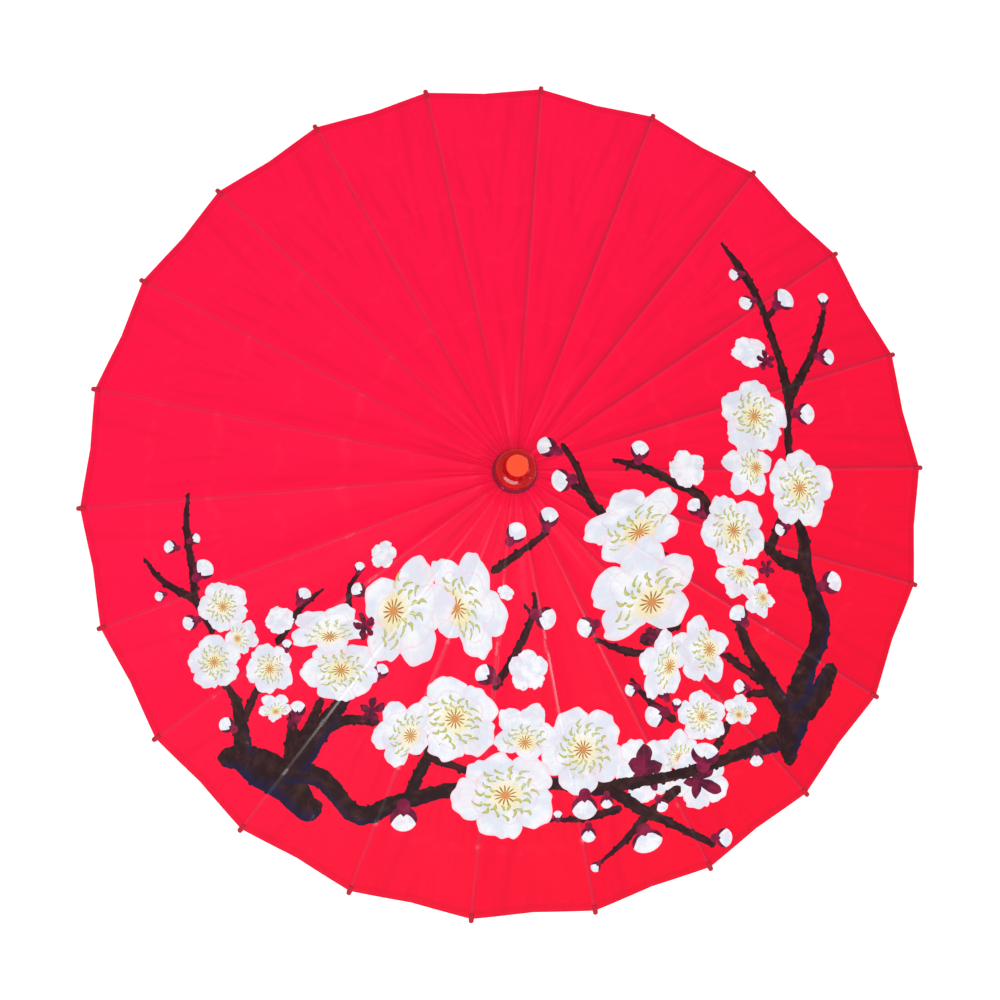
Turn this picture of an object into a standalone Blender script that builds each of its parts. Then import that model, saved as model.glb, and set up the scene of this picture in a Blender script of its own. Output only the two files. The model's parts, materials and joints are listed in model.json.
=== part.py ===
"""A silk-cloth dance parasol, built the way the makers of oil paper umbrellas build them.

Twenty-two split bamboo ribs hinge on a wire threaded round a turned upper hub. Each rib carries a
bamboo stretcher, pinned in a slot cut through the rib. The stretchers' feet are threaded round a
second hub, the runner, that slides on the pole. A sprung catch in the pole holds the runner up while
the parasol is open.

Metres, +Z up the pole towards the finial. The origin is the middle of the handle's flat end, and the
parasol is modelled open. A rib's own X axis runs along it from the hub to the tip, Y is its hinge's
axis, and Z is its back, which the cloth lies on.
"""

import math

import bmesh
import bpy
from mathutils import Euler

for old in list(bpy.data.objects):
    bpy.data.objects.remove(old, do_unlink=True)

# ---- Driving dimensions: the whole parasol

RIB_COUNT = 22
FIRST_RIB_AZIMUTH = math.radians(3.0)
TIP_RADIUS = 0.410  # from the pole's axis to a rib's tip, open
OPEN_SLOPE = math.radians(12.5)  # how far an open rib falls below the level
SHUT_ANGLE = math.radians(3.0)  # a shut rib's angle from the pole
LINK_LENGTH = 0.170  # hub pivot to stretcher pin, and stretcher pin to runner pivot
PIVOT_RADIUS = 0.015  # of the threaded wires, in the hub and in the runner
SHUT_CLEARANCE = 0.010  # between the lowered runner and the handle's ferrule
GAP = 0.0003  # between pieces that touch or are glued
SLOT_PLAY = 0.0003  # beside a bamboo end in its slot

# ---- Driving dimensions: pole, handle and catch

POLE_RADIUS = 0.0056
HANDLE_LENGTH = 0.095
HANDLE_WALL = 0.0056  # wood round the pole's socket at the widest bead
HANDLE_SOCKET_DEPTH = 0.070
CAP_THICKNESS = 0.006
CAP_RADIUS = 0.0095
CAP_SPIGOT_RADIUS = 0.0035
CAP_SPIGOT_LENGTH = 0.008
FERRULE_HEIGHT = 0.007
FERRULE_WALL = 0.0026
CATCH_WIDTH = 0.003
CATCH_LENGTH = 0.030  # from its pin to its shoulder
CATCH_STEP = 0.0032  # how far the shoulder stands out of the pole
CATCH_ARM = 0.0022
CATCH_BACK_WALL = 0.0034  # wood left behind the catch's slot
CATCH_PIN_RADIUS = 0.0006

# ---- Driving dimensions: hubs, wires and finial

HUB_RIM = 0.004  # wood beyond the wire, in the hub and in the runner
HUB_TOP_THICKNESS = 0.003
HUB_SKIRT = 0.012  # from the pivot down to the skirt's edge
HUB_NECK_WALL = 0.0029
HUB_NECK_LENGTH = 0.012
HUB_PIN_RADIUS = 0.001
RUNNER_CROWN = 0.010  # from the pivot up to the runner's top
RUNNER_TUBE_WALL = 0.0035
RUNNER_TUBE_LENGTH = 0.032
RUNNER_FLANGE = 0.0065  # from the pivot down to the flange's underside
RUNNER_BORE_PLAY = 0.00035
WIRE_RADIUS = 0.0004
WASHER_OVERHANG = 0.0007  # beyond the hub
WASHER_THICKNESS = 0.0016
FINIAL_OVERHANG = 0.0018  # beyond the hub
FINIAL_HEIGHT = 0.032
FINIAL_TOP_RADIUS = 0.0098
FINIAL_SOCKET_DEPTH = 0.020

# ---- Driving dimensions: bamboo

RIB_WIDTH = 0.0044
RIB_DEPTH = 0.0032
RIB_END_THICKNESS = 0.0018
RIB_THIN_PAST_SKIRT = 0.002  # how far the thinned root runs past the hub's skirt
RIB_SHUT_SPACE = 0.0007  # between neighbouring ribs, shut, where they reach their full width
RIB_TIP_TAPER = 0.090
RIB_TIP_DEPTH = 0.0022
STRETCHER_WIDTH = 0.0034
STRETCHER_DEPTH = 0.0028
STRETCHER_END_THICKNESS = 0.0018
STRETCHER_SHOULDER = 0.014  # over which an end's thinning fades
PIN_RADIUS = 0.0005
PIN_PLAY = 0.00035

# ---- Driving dimensions: cloth

CLOTH_THICKNESS = 0.0008
CLOTH_OVER_RIB = 0.0005  # glue line, and room for the sag beside the rib
CLOTH_HOLE_PLAY = 0.002  # round the pole
CLOTH_TENT = 0.017  # from the hub's edge out to where the cloth comes down onto the ribs
CLOTH_SHORT_OF_TIP = 0.003
PANEL_SAG = 0.0030  # in the middle of a panel, three quarters of the way out
RIM_SCALLOP = 0.0035  # how far a panel's edge bows in between two ribs

# ---- Worked out from the driving dimensions

RIB_STEP = 2 * math.pi / RIB_COUNT
RIB_LENGTH = (TIP_RADIUS - PIVOT_RADIUS) / math.cos(OPEN_SLOPE)
BORE_RADIUS = POLE_RADIUS + GAP
HANDLE_RADIUS = BORE_RADIUS + HANDLE_WALL
FERRULE_RADIUS = BORE_RADIUS + FERRULE_WALL
FERRULE_TOP = HANDLE_LENGTH + GAP + FERRULE_HEIGHT
CATCH_REACH = POLE_RADIUS + CATCH_STEP
HUB_RADIUS = PIVOT_RADIUS + HUB_RIM
HUB_NECK_RADIUS = BORE_RADIUS + HUB_NECK_WALL
RUNNER_TUBE_RADIUS = BORE_RADIUS + RUNNER_TUBE_WALL
RUNNER_BOTTOM = -RUNNER_FLANGE - RUNNER_TUBE_LENGTH
SHUT_RUNNER_PIVOT = FERRULE_TOP + SHUT_CLEARANCE - RUNNER_BOTTOM
HUB_PIVOT_HEIGHT = SHUT_RUNNER_PIVOT + 2 * LINK_LENGTH * math.cos(SHUT_ANGLE)
RUNNER_PIVOT_HEIGHT = HUB_PIVOT_HEIGHT - 2 * LINK_LENGTH * math.sin(OPEN_SLOPE)
WASHER_RADIUS = HUB_RADIUS + WASHER_OVERHANG
FINIAL_RADIUS = HUB_RADIUS + FINIAL_OVERHANG
CLOTH_MEETS_RIBS = HUB_RADIUS + CLOTH_TENT
CLOTH_INNER_RADIUS = POLE_RADIUS + CLOTH_HOLE_PLAY
RIB_SLOT_WIDTH = STRETCHER_END_THICKNESS + 2 * SLOT_PLAY
RIB_THIN_LENGTH = HUB_SKIRT + RIB_THIN_PAST_SKIRT
SHUT_RING_RADIUS = (RIB_WIDTH + RIB_SHUT_SPACE) / RIB_STEP
RIB_FULL_LENGTH = (SHUT_RING_RADIUS - PIVOT_RADIUS) / math.sin(SHUT_ANGLE)
RIB_SLOT_OUTWARD = (RIB_DEPTH / 2 + STRETCHER_DEPTH / 2 + 2 * GAP) / math.tan(2 * SHUT_ANGLE)
RIB_SLOT_INWARD = (
    RIB_DEPTH / 2 + STRETCHER_DEPTH / 2 / math.cos(2 * OPEN_SLOPE) + 2 * GAP
) / math.tan(2 * OPEN_SLOPE)
HUB_SLOT_WIDTH = RIB_END_THICKNESS + 2 * SLOT_PLAY
RUNNER_SLOT_WIDTH = STRETCHER_END_THICKNESS + 2 * SLOT_PLAY
HUB_CORE_RADIUS = PIVOT_RADIUS - RIB_DEPTH / 2 - 0.0005
RUNNER_CORE_RADIUS = PIVOT_RADIUS - STRETCHER_DEPTH / 2 - 0.0007
HUB_SLOT_TOP = RIB_DEPTH / 2 + 0.0004
HUB_TOP = HUB_SLOT_TOP + HUB_TOP_THICKNESS
CLOTH_ON_HUB = HUB_PIVOT_HEIGHT + HUB_TOP + GAP
WASHER_BOTTOM = CLOTH_ON_HUB + CLOTH_THICKNESS + GAP
FINIAL_BOTTOM = WASHER_BOTTOM + WASHER_THICKNESS + GAP
POLE_TOP = FINIAL_BOTTOM + FINIAL_SOCKET_DEPTH - GAP
POLE_BOTTOM = HANDLE_LENGTH - HANDLE_SOCKET_DEPTH + GAP
CATCH_SHOULDER = RUNNER_PIVOT_HEIGHT + RUNNER_BOTTOM - GAP
CATCH_PIN_HEIGHT = CATCH_SHOULDER - CATCH_LENGTH

TURNED_STEPS = 28
HUB_STEPS = 2 * RIB_COUNT
CUT_MARGIN = 0.004  # how far a cutter runs past the face it opens


# ---- Helpers


def finish(name, red, green, blue, roughness, metallic=0.0):
    """A material with one Principled shader."""
    material = bpy.data.materials.new(name)
    material.use_nodes = True
    shader = material.node_tree.nodes["Principled BSDF"]
    shader.inputs["Base Color"].default_value = (red, green, blue, 1.0)
    shader.inputs["Roughness"].default_value = roughness
    shader.inputs["Metallic"].default_value = metallic
    return material


def place(name, mesh, material, location=(0, 0, 0), rotation=(0, 0, 0), parent=None):
    """An object for a mesh, in its parent's frame."""
    thing = bpy.data.objects.new(name, mesh)
    bpy.context.scene.collection.objects.link(thing)
    if material is not None and not mesh.materials:
        mesh.materials.append(material)
    thing.location = location
    thing.rotation_euler = Euler(rotation)
    thing.parent = parent
    return thing


def to_mesh(name, bm, smooth_below=None):
    """The finished mesh of a bmesh, faces outward, with edges sharper than the angle kept sharp."""
    bmesh.ops.recalc_face_normals(bm, faces=bm.faces)
    mesh = bpy.data.meshes.new(name)
    bm.to_mesh(mesh)
    bm.free()
    if smooth_below is not None:
        mesh.shade_smooth()
        mesh.set_sharp_from_angle(angle=smooth_below)
    return mesh


def turned(name, profile, steps, closed=True):
    """A turned piece: (radius, height) points spun about Z. An open profile starts and ends on the axis."""
    bm = bmesh.new()
    points = [bm.verts.new((radius, 0.0, height)) for radius, height in profile]
    pairs = list(zip(points, points[1:]))
    if closed:
        pairs.append((points[-1], points[0]))
    edges = [bm.edges.new(pair) for pair in pairs]
    bmesh.ops.spin(
        bm,
        geom=points + edges,
        cent=(0, 0, 0),
        axis=(0, 0, 1),
        angle=2 * math.pi,
        steps=steps,
        use_merge=True,
    )
    bmesh.ops.remove_doubles(bm, verts=bm.verts, dist=1e-6)
    return to_mesh(name, bm, math.radians(35))


def circle_profile(centre_radius, radius, steps):
    """The (radius, height) points of a round wire's section, for a ring about Z."""
    angles = [2 * math.pi * n / steps for n in range(steps)]
    return [(centre_radius + radius * math.cos(a), radius * math.sin(a)) for a in angles]


def add_box(bm, low, high, turn=0.0):
    """A box between two corners, turned about Z by an angle."""
    made = bmesh.ops.create_cube(bm, size=1.0)["verts"]
    for vertex in made:
        for axis in range(3):
            middle = (low[axis] + high[axis]) / 2
            vertex.co[axis] = middle + vertex.co[axis] * (high[axis] - low[axis])
    bmesh.ops.rotate(bm, verts=made, cent=(0, 0, 0), matrix=Euler((0, 0, turn)).to_matrix())


def box_mesh(low, high):
    """A box between two corners."""
    bm = bmesh.new()
    add_box(bm, low, high)
    return to_mesh("box", bm)


def cross_rod(radius, length, steps, x=0.0, z=0.0):
    """A round rod along Y, centred on (x, 0, z)."""
    bm = bmesh.new()
    bmesh.ops.create_cone(
        bm, cap_ends=True, segments=steps, radius1=radius, radius2=radius, depth=length
    )
    bmesh.ops.rotate(
        bm, verts=bm.verts, cent=(0, 0, 0), matrix=Euler((math.pi / 2, 0, 0)).to_matrix()
    )
    bmesh.ops.translate(bm, verts=bm.verts, vec=(x, 0, z))
    return to_mesh("rod", bm)


def tapered_bar(name, stations):
    """A bar along X through sections of (x, half width, lowest z, highest z)."""
    bm = bmesh.new()
    rings = []
    for x, half, low, high in stations:
        corners = ((-half, low), (half, low), (half, high), (-half, high))
        rings.append([bm.verts.new((x, y, z)) for y, z in corners])
    for ring, following in zip(rings, rings[1:]):
        for n in range(4):
            bm.faces.new((ring[n], ring[(n + 1) % 4], following[(n + 1) % 4], following[n]))
    bm.faces.new(rings[0])
    bm.faces.new(rings[-1])
    return to_mesh(name, bm)


def carve(mesh, *cuts):
    """A mesh after one Boolean for each (operation, other mesh)."""
    body = bpy.data.objects.new("body", mesh)
    bpy.context.scene.collection.objects.link(body)
    tools = []
    for operation, other in cuts:
        tool = bpy.data.objects.new("tool", other)
        bpy.context.scene.collection.objects.link(tool)
        step = body.modifiers.new(operation, "BOOLEAN")
        step.operation = operation
        step.object = tool
        tools.append(tool)
    evaluated = body.evaluated_get(bpy.context.evaluated_depsgraph_get())
    result = bpy.data.meshes.new_from_object(evaluated)
    for spent in [body, *tools]:
        bpy.data.objects.remove(spent, do_unlink=True)
    return result


def round_end(radius, half_width, toward=-1.0, at=0.0):
    """Stations of a bar's rounded end, in the order of rising x."""
    angles = [math.radians(a) for a in (20, 55)]
    stations = [
        (at + toward * radius * math.cos(a), half_width, -radius * math.sin(a), radius * math.sin(a))
        for a in angles
    ]
    return stations if toward < 0 else stations[::-1]


def slots(width, inner_radius, bottom, top):
    """One radial box for each rib, starting with the one along X."""
    bm = bmesh.new()
    for n in range(RIB_COUNT):
        low = (inner_radius, -width / 2, bottom)
        high = (HUB_RADIUS + CUT_MARGIN, width / 2, top)
        add_box(bm, low, high, n * RIB_STEP)
    return to_mesh("slots", bm)


# ---- Finishes

CLOTH = finish("red satin cloth", 0.83, 0.01, 0.05, 0.45)
LACQUER = finish("red lacquer", 0.52, 0.008, 0.006, 0.12)
BAMBOO = finish("split bamboo", 0.62, 0.42, 0.21, 0.5)
POLE_WOOD = finish("pole bamboo", 0.55, 0.34, 0.15, 0.42)
HUB_WOOD = finish("turned hub wood", 0.60, 0.43, 0.25, 0.55)
HANDLE_WOOD = finish("lacquered handle", 0.20, 0.02, 0.015, 0.25)
STEEL = finish("spring steel", 0.56, 0.56, 0.58, 0.3, 1.0)
BRASS = finish("brass", 0.72, 0.52, 0.22, 0.3, 1.0)


# ---- Pole, with the catch's slot and the pins' holes


def make_pole():
    rod = turned(
        "pole",
        [(0, POLE_BOTTOM), (POLE_RADIUS, POLE_BOTTOM), (POLE_RADIUS, POLE_TOP), (0, POLE_TOP)],
        TURNED_STEPS,
        closed=False,
    )
    half_slot = CATCH_WIDTH / 2 + SLOT_PLAY
    # The catch stands towards -Y, so its slot opens there.
    slot = box_mesh(
        (-half_slot, -POLE_RADIUS - CUT_MARGIN, CATCH_PIN_HEIGHT - 0.004),
        (half_slot, POLE_RADIUS - CATCH_BACK_WALL, CATCH_SHOULDER + 0.002),
    )
    catch_hole = cross_rod(CATCH_PIN_RADIUS + GAP, 4 * POLE_RADIUS, 8)
    catch_hole.transform(Euler((0, 0, math.pi / 2)).to_matrix().to_4x4())
    for vertex in catch_hole.vertices:
        vertex.co.z += CATCH_PIN_HEIGHT
    hub_hole = cross_rod(HUB_PIN_RADIUS + GAP, 4 * POLE_RADIUS, 8, z=hub_pin_height())
    mesh = carve(rod, ("DIFFERENCE", slot), ("DIFFERENCE", catch_hole), ("DIFFERENCE", hub_hole))
    return place("pole", mesh, POLE_WOOD)


def hub_pin_height():
    """The hub's pin crosses the middle of the hub's neck."""
    return HUB_PIVOT_HEIGHT - HUB_SKIRT - 0.002 - HUB_NECK_LENGTH / 2


# ---- Handle, its end cap and its ferrule


def make_handle():
    socket = BORE_RADIUS
    spigot_hole = CAP_SPIGOT_RADIUS + GAP
    spigot_depth = CAP_SPIGOT_LENGTH + GAP
    bottom = CAP_THICKNESS + GAP
    top = HANDLE_LENGTH
    profile = [
        (0, bottom + spigot_depth),
        (spigot_hole, bottom + spigot_depth),
        (spigot_hole, bottom),
        (HANDLE_RADIUS - 0.0030, bottom),
        (HANDLE_RADIUS, bottom + 0.003),
        (HANDLE_RADIUS, bottom + 0.008),
        (HANDLE_RADIUS - 0.0023, bottom + 0.014),
        (HANDLE_RADIUS - 0.0027, bottom + 0.020),
        (HANDLE_RADIUS - 0.0015, bottom + 0.038),
        (HANDLE_RADIUS - 0.0011, bottom + 0.052),
        (HANDLE_RADIUS - 0.0021, top - 0.018),
        (HANDLE_RADIUS - 0.0029, top - 0.011),
        (HANDLE_RADIUS - 0.0013, top - 0.007),
        (HANDLE_RADIUS - 0.0013, top - 0.003),
        (HANDLE_RADIUS - 0.0025, top),
        (socket, top),
        (socket, top - HANDLE_SOCKET_DEPTH),
        (0, top - HANDLE_SOCKET_DEPTH),
    ]
    return place("handle", turned("handle", profile, TURNED_STEPS, closed=False), HANDLE_WOOD)


def make_handle_cap():
    profile = [
        (0, 0),
        (CAP_RADIUS - 0.001, 0),
        (CAP_RADIUS, 0.001),
        (CAP_RADIUS, CAP_THICKNESS - 0.001),
        (CAP_RADIUS - 0.001, CAP_THICKNESS),
        (CAP_SPIGOT_RADIUS, CAP_THICKNESS),
        (CAP_SPIGOT_RADIUS, CAP_THICKNESS + CAP_SPIGOT_LENGTH),
        (0, CAP_THICKNESS + CAP_SPIGOT_LENGTH),
    ]
    return place("handle_cap", turned("handle_cap", profile, TURNED_STEPS, closed=False), HANDLE_WOOD)


def make_ferrule():
    base = HANDLE_LENGTH + GAP
    profile = [
        (BORE_RADIUS, base),
        (FERRULE_RADIUS, base),
        (FERRULE_RADIUS, base + 0.003),
        (FERRULE_RADIUS - 0.0014, FERRULE_TOP),
        (BORE_RADIUS, FERRULE_TOP),
    ]
    return place("handle_ferrule", turned("handle_ferrule", profile, TURNED_STEPS), BRASS)


# ---- Spring catch: a steel tongue on a pin in the pole, with a ramp below and a flat shoulder on top


def make_catch():
    """The outline lies in the YZ plane with the pin's hole at the origin, and leans towards -Y."""
    inner = CATCH_ARM / 2
    head_inner = -POLE_RADIUS + 0.0030
    outline = [
        (inner, -0.0018),
        (inner, 0.004),
        (head_inner, CATCH_LENGTH - 0.008),
        (head_inner, CATCH_LENGTH),
        (-CATCH_REACH, CATCH_LENGTH),
        (-CATCH_REACH, CATCH_LENGTH - 0.0015),
        (-POLE_RADIUS, CATCH_LENGTH - 0.011),
        (-inner, 0.006),
        (-inner, -0.0018),
    ]
    bm = bmesh.new()
    face = bm.faces.new([bm.verts.new((-CATCH_WIDTH / 2, y, z)) for y, z in outline])
    grown = bmesh.ops.extrude_face_region(bm, geom=[face])["geom"]
    moved = [part for part in grown if isinstance(part, bmesh.types.BMVert)]
    bmesh.ops.translate(bm, verts=moved, vec=(CATCH_WIDTH, 0, 0))
    tongue = to_mesh("spring_catch", bm)
    hole = cross_rod(CATCH_PIN_RADIUS + GAP / 2, 4 * CATCH_WIDTH, 8)
    hole.transform(Euler((0, 0, math.pi / 2)).to_matrix().to_4x4())
    mesh = carve(tongue, ("DIFFERENCE", hole))
    return place("spring_catch", mesh, STEEL, location=(0, 0, CATCH_PIN_HEIGHT))


def make_catch_pin():
    rod = cross_rod(CATCH_PIN_RADIUS, 2 * POLE_RADIUS - 0.0008, 8)
    quarter = (0, 0, math.pi / 2)
    return place("catch_pin", rod, STEEL, location=(0, 0, CATCH_PIN_HEIGHT), rotation=quarter)


# ---- Upper hub: slotted for the ribs from below, grooved for the wire that threads them


def wire_groove():
    """The groove's half height and its floor radius, round the threaded wire."""
    return WIRE_RADIUS + 0.00035, PIVOT_RADIUS - WIRE_RADIUS - GAP


def make_hub(turn):
    groove, floor = wire_groove()
    skirt = -HUB_SKIRT
    neck_top = skirt - 0.002
    neck_bottom = neck_top - HUB_NECK_LENGTH
    profile = [
        (BORE_RADIUS, HUB_TOP),
        (HUB_RADIUS - 0.0008, HUB_TOP),
        (HUB_RADIUS, HUB_TOP - 0.0008),
        (HUB_RADIUS, groove),
        (floor, groove),
        (floor, -groove),
        (HUB_RADIUS, -groove),
        (HUB_RADIUS, skirt + 0.002),
        (HUB_RADIUS - 0.002, skirt),
        (HUB_CORE_RADIUS - 0.0012, skirt),
        (HUB_NECK_RADIUS, neck_top - 0.002),
        (HUB_NECK_RADIUS, neck_bottom + 0.001),
        (HUB_NECK_RADIUS - 0.001, neck_bottom),
        (BORE_RADIUS, neck_bottom),
    ]
    cuts = slots(HUB_SLOT_WIDTH, HUB_CORE_RADIUS, skirt - CUT_MARGIN, HUB_SLOT_TOP)
    pin_hole = cross_rod(
        HUB_PIN_RADIUS + GAP, 4 * HUB_NECK_RADIUS, 8, z=hub_pin_height() - HUB_PIVOT_HEIGHT
    )
    pin_hole.transform(Euler((0, 0, -turn)).to_matrix().to_4x4())
    blank = turned("upper_hub", profile, HUB_STEPS)
    mesh = carve(blank, ("DIFFERENCE", cuts), ("DIFFERENCE", pin_hole))
    return place("upper_hub", mesh, HUB_WOOD, (0, 0, HUB_PIVOT_HEIGHT), (0, 0, turn))


def make_hub_pin():
    rod = cross_rod(HUB_PIN_RADIUS, 2 * HUB_NECK_RADIUS - 0.0004, 8)
    return place("hub_pin", rod, BAMBOO, location=(0, 0, hub_pin_height()))


def threaded_wire(name):
    """The ring of wire threaded through a hub's bamboo ends, with a corner in each rib's plane."""
    return turned(name, circle_profile(PIVOT_RADIUS, WIRE_RADIUS, 6), HUB_STEPS)


# ---- Runner: slotted for the stretchers' feet from above, on a tube that slides on the pole


def make_runner(pivot):
    groove, floor = wire_groove()
    bore = POLE_RADIUS + RUNNER_BORE_PLAY
    flange = -RUNNER_FLANGE
    profile = [
        (bore, RUNNER_CROWN),
        (HUB_RADIUS - 0.0014, RUNNER_CROWN),
        (HUB_RADIUS, RUNNER_CROWN - 0.0014),
        (HUB_RADIUS, groove),
        (floor, groove),
        (floor, -groove),
        (HUB_RADIUS, -groove),
        (HUB_RADIUS, flange + 0.002),
        (HUB_RADIUS - 0.002, flange),
        (RUNNER_TUBE_RADIUS + 0.001, flange - 0.0015),
        (RUNNER_TUBE_RADIUS, flange - 0.005),
        (RUNNER_TUBE_RADIUS, RUNNER_BOTTOM + 0.006),
        (RUNNER_TUBE_RADIUS + 0.0014, RUNNER_BOTTOM + 0.004),
        (RUNNER_TUBE_RADIUS + 0.0014, RUNNER_BOTTOM + 0.001),
        (RUNNER_TUBE_RADIUS + 0.0004, RUNNER_BOTTOM),
        (bore, RUNNER_BOTTOM),
    ]
    slot_floor = -STRETCHER_DEPTH / 2 - 0.0006
    cuts = slots(RUNNER_SLOT_WIDTH, RUNNER_CORE_RADIUS, slot_floor, RUNNER_CROWN + CUT_MARGIN)
    mesh = carve(turned("runner", profile, HUB_STEPS), ("DIFFERENCE", cuts))
    return place("runner", mesh, HUB_WOOD, location=(-PIVOT_RADIUS, 0, 0), parent=pivot)


# ---- Ribs and stretchers


def rib_mesh():
    """A rib: thin root with the wire's hole, full width beyond the hub, a stretcher slot, a slim tip."""
    half_root = RIB_END_THICKNESS / 2
    half = RIB_WIDTH / 2
    top = RIB_DEPTH / 2
    tip_low = top - RIB_TIP_DEPTH
    stations = round_end(RIB_DEPTH / 2, half_root)
    stations += [
        (0, half_root, -top, top),
        (RIB_THIN_LENGTH, half_root, -top, top),
        (RIB_FULL_LENGTH, half, -top, top),
        (RIB_LENGTH - RIB_TIP_TAPER, half, -top, top),
        (RIB_LENGTH - 0.004, half * 0.8, tip_low, top),
        (RIB_LENGTH - 0.001, half * 0.7, tip_low + 0.0002, top - 0.0002),
        (RIB_LENGTH, half * 0.4, tip_low + 0.0007, top - 0.0007),
    ]
    slot = box_mesh(
        (LINK_LENGTH - RIB_SLOT_INWARD, -RIB_SLOT_WIDTH / 2, -RIB_DEPTH),
        (LINK_LENGTH + RIB_SLOT_OUTWARD, RIB_SLOT_WIDTH / 2, RIB_DEPTH),
    )
    wire_hole = cross_rod(WIRE_RADIUS + PIN_PLAY, 4 * RIB_WIDTH, 6)
    pin_hole = cross_rod(PIN_RADIUS + PIN_PLAY, 4 * RIB_WIDTH, 6, x=LINK_LENGTH)
    blank = tapered_bar("rib", stations)
    return carve(blank, ("DIFFERENCE", slot), ("DIFFERENCE", wire_hole), ("DIFFERENCE", pin_hole))


def stretcher_mesh():
    """A stretcher from its pin in the rib, at the origin, to its foot on the runner's wire."""
    half_end = STRETCHER_END_THICKNESS / 2
    half = STRETCHER_WIDTH / 2
    deep = STRETCHER_DEPTH / 2
    foot_thin = RUNNER_CROWN + 0.006
    stations = round_end(deep, half_end)
    stations += [
        (0, half_end, -deep, deep),
        (RIB_SLOT_OUTWARD, half_end, -deep, deep),
        (RIB_SLOT_OUTWARD + STRETCHER_SHOULDER, half, -deep, deep),
        (LINK_LENGTH - foot_thin - STRETCHER_SHOULDER, half, -deep, deep),
        (LINK_LENGTH - foot_thin, half_end, -deep, deep),
        (LINK_LENGTH, half_end, -deep, deep),
    ]
    stations += round_end(deep, half_end, toward=1.0, at=LINK_LENGTH)
    wire_hole = cross_rod(WIRE_RADIUS + PIN_PLAY, 4 * STRETCHER_WIDTH, 6, x=LINK_LENGTH)
    pin = cross_rod(PIN_RADIUS, RIB_WIDTH, 6)
    blank = tapered_bar("stretcher", stations)
    return carve(blank, ("DIFFERENCE", wire_hole), ("UNION", pin))


def make_ribs():
    """The ribs, each with its stretcher as a child. Returns the first stretcher, for the runner."""
    shared_rib = rib_mesh()
    shared_stretcher = stretcher_mesh()
    first = None
    for n in range(RIB_COUNT):
        azimuth = FIRST_RIB_AZIMUTH + n * RIB_STEP
        hinge = (PIVOT_RADIUS * math.cos(azimuth), PIVOT_RADIUS * math.sin(azimuth), HUB_PIVOT_HEIGHT)
        label = f"{n + 1:02d}"
        rib = place(f"rib_{label}", shared_rib, BAMBOO, hinge, (0, OPEN_SLOPE, azimuth))
        stretcher = place(
            f"stretcher_{label}",
            shared_stretcher,
            BAMBOO,
            location=(LINK_LENGTH, 0, 0),
            rotation=(0, math.pi - 2 * OPEN_SLOPE, 0),
            parent=rib,
        )
        first = first or stretcher
    return first


def make_runner_pivot(stretcher):
    """An empty on the first stretcher's foot, upright, with X pointing outward along the first rib."""
    pivot = bpy.data.objects.new("runner_pivot", None)
    bpy.context.scene.collection.objects.link(pivot)
    pivot.parent = stretcher
    pivot.location = (LINK_LENGTH, 0, 0)
    pivot.rotation_euler = Euler((0, -math.pi + OPEN_SLOPE, 0))
    return pivot


# ---- Canopy: one sheet of cloth, taut over the ribs and sagging a little between them


def rib_back_height(radius):
    """The height of a rib's back at a distance from the pole's axis."""
    drop = (radius - PIVOT_RADIUS) * math.tan(OPEN_SLOPE)
    return HUB_PIVOT_HEIGHT - drop + RIB_DEPTH / 2 / math.cos(OPEN_SLOPE)


def cloth_height(radius):
    """The underside of the cloth above a rib: flat on the hub, then down onto the rib's back."""
    if radius <= HUB_RADIUS:
        return CLOTH_ON_HUB
    touch = rib_back_height(CLOTH_MEETS_RIBS) + CLOTH_OVER_RIB
    if radius < CLOTH_MEETS_RIBS:
        share = (radius - HUB_RADIUS) / (CLOTH_MEETS_RIBS - HUB_RADIUS)
        return CLOTH_ON_HUB + share * (touch - CLOTH_ON_HUB)
    return rib_back_height(radius) + CLOTH_OVER_RIB


def make_canopy():
    rim = TIP_RADIUS - CLOTH_SHORT_OF_TIP
    stations = [CLOTH_INNER_RADIUS, HUB_RADIUS, CLOTH_MEETS_RIBS]
    outer_bands = 6
    span = rim - CLOTH_MEETS_RIBS
    stations += [CLOTH_MEETS_RIBS + span * (n + 1) / outer_bands for n in range(outer_bands)]
    bm = bmesh.new()
    rings = []
    for radius in stations:
        out = max(0.0, (radius - CLOTH_MEETS_RIBS) / span)
        sag = PANEL_SAG * math.sin(math.pi * min(1.0, out * 0.85))
        ring = []
        for n in range(2 * RIB_COUNT):
            azimuth = FIRST_RIB_AZIMUTH + n * RIB_STEP / 2
            on_rib = n % 2 == 0
            reach = radius if on_rib else radius * math.cos(RIB_STEP / 2) - RIM_SCALLOP * out**3
            height = cloth_height(radius) - (0 if on_rib else sag)
            ring.append(bm.verts.new((reach * math.cos(azimuth), reach * math.sin(azimuth), height)))
        rings.append(ring)
    for ring, outer in zip(rings, rings[1:]):
        for n in range(len(ring)):
            after = (n + 1) % len(ring)
            bm.faces.new((ring[n], outer[n], outer[after], ring[after]))
    mesh = to_mesh("canopy", bm, math.radians(35))
    canopy = place("canopy", mesh, CLOTH)
    for polygon in mesh.polygons:
        if polygon.normal.z < 0:
            mesh.flip_normals()
            break
    thickness = canopy.modifiers.new("cloth", "SOLIDIFY")
    thickness.thickness = CLOTH_THICKNESS
    thickness.offset = 1.0
    return canopy


# ---- Crown washer and finial


def make_washer():
    profile = [
        (BORE_RADIUS, WASHER_BOTTOM),
        (WASHER_RADIUS, WASHER_BOTTOM),
        (WASHER_RADIUS, WASHER_BOTTOM + WASHER_THICKNESS),
        (BORE_RADIUS, WASHER_BOTTOM + WASHER_THICKNESS),
    ]
    return place("crown_washer", turned("crown_washer", profile, TURNED_STEPS), LACQUER)


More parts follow.
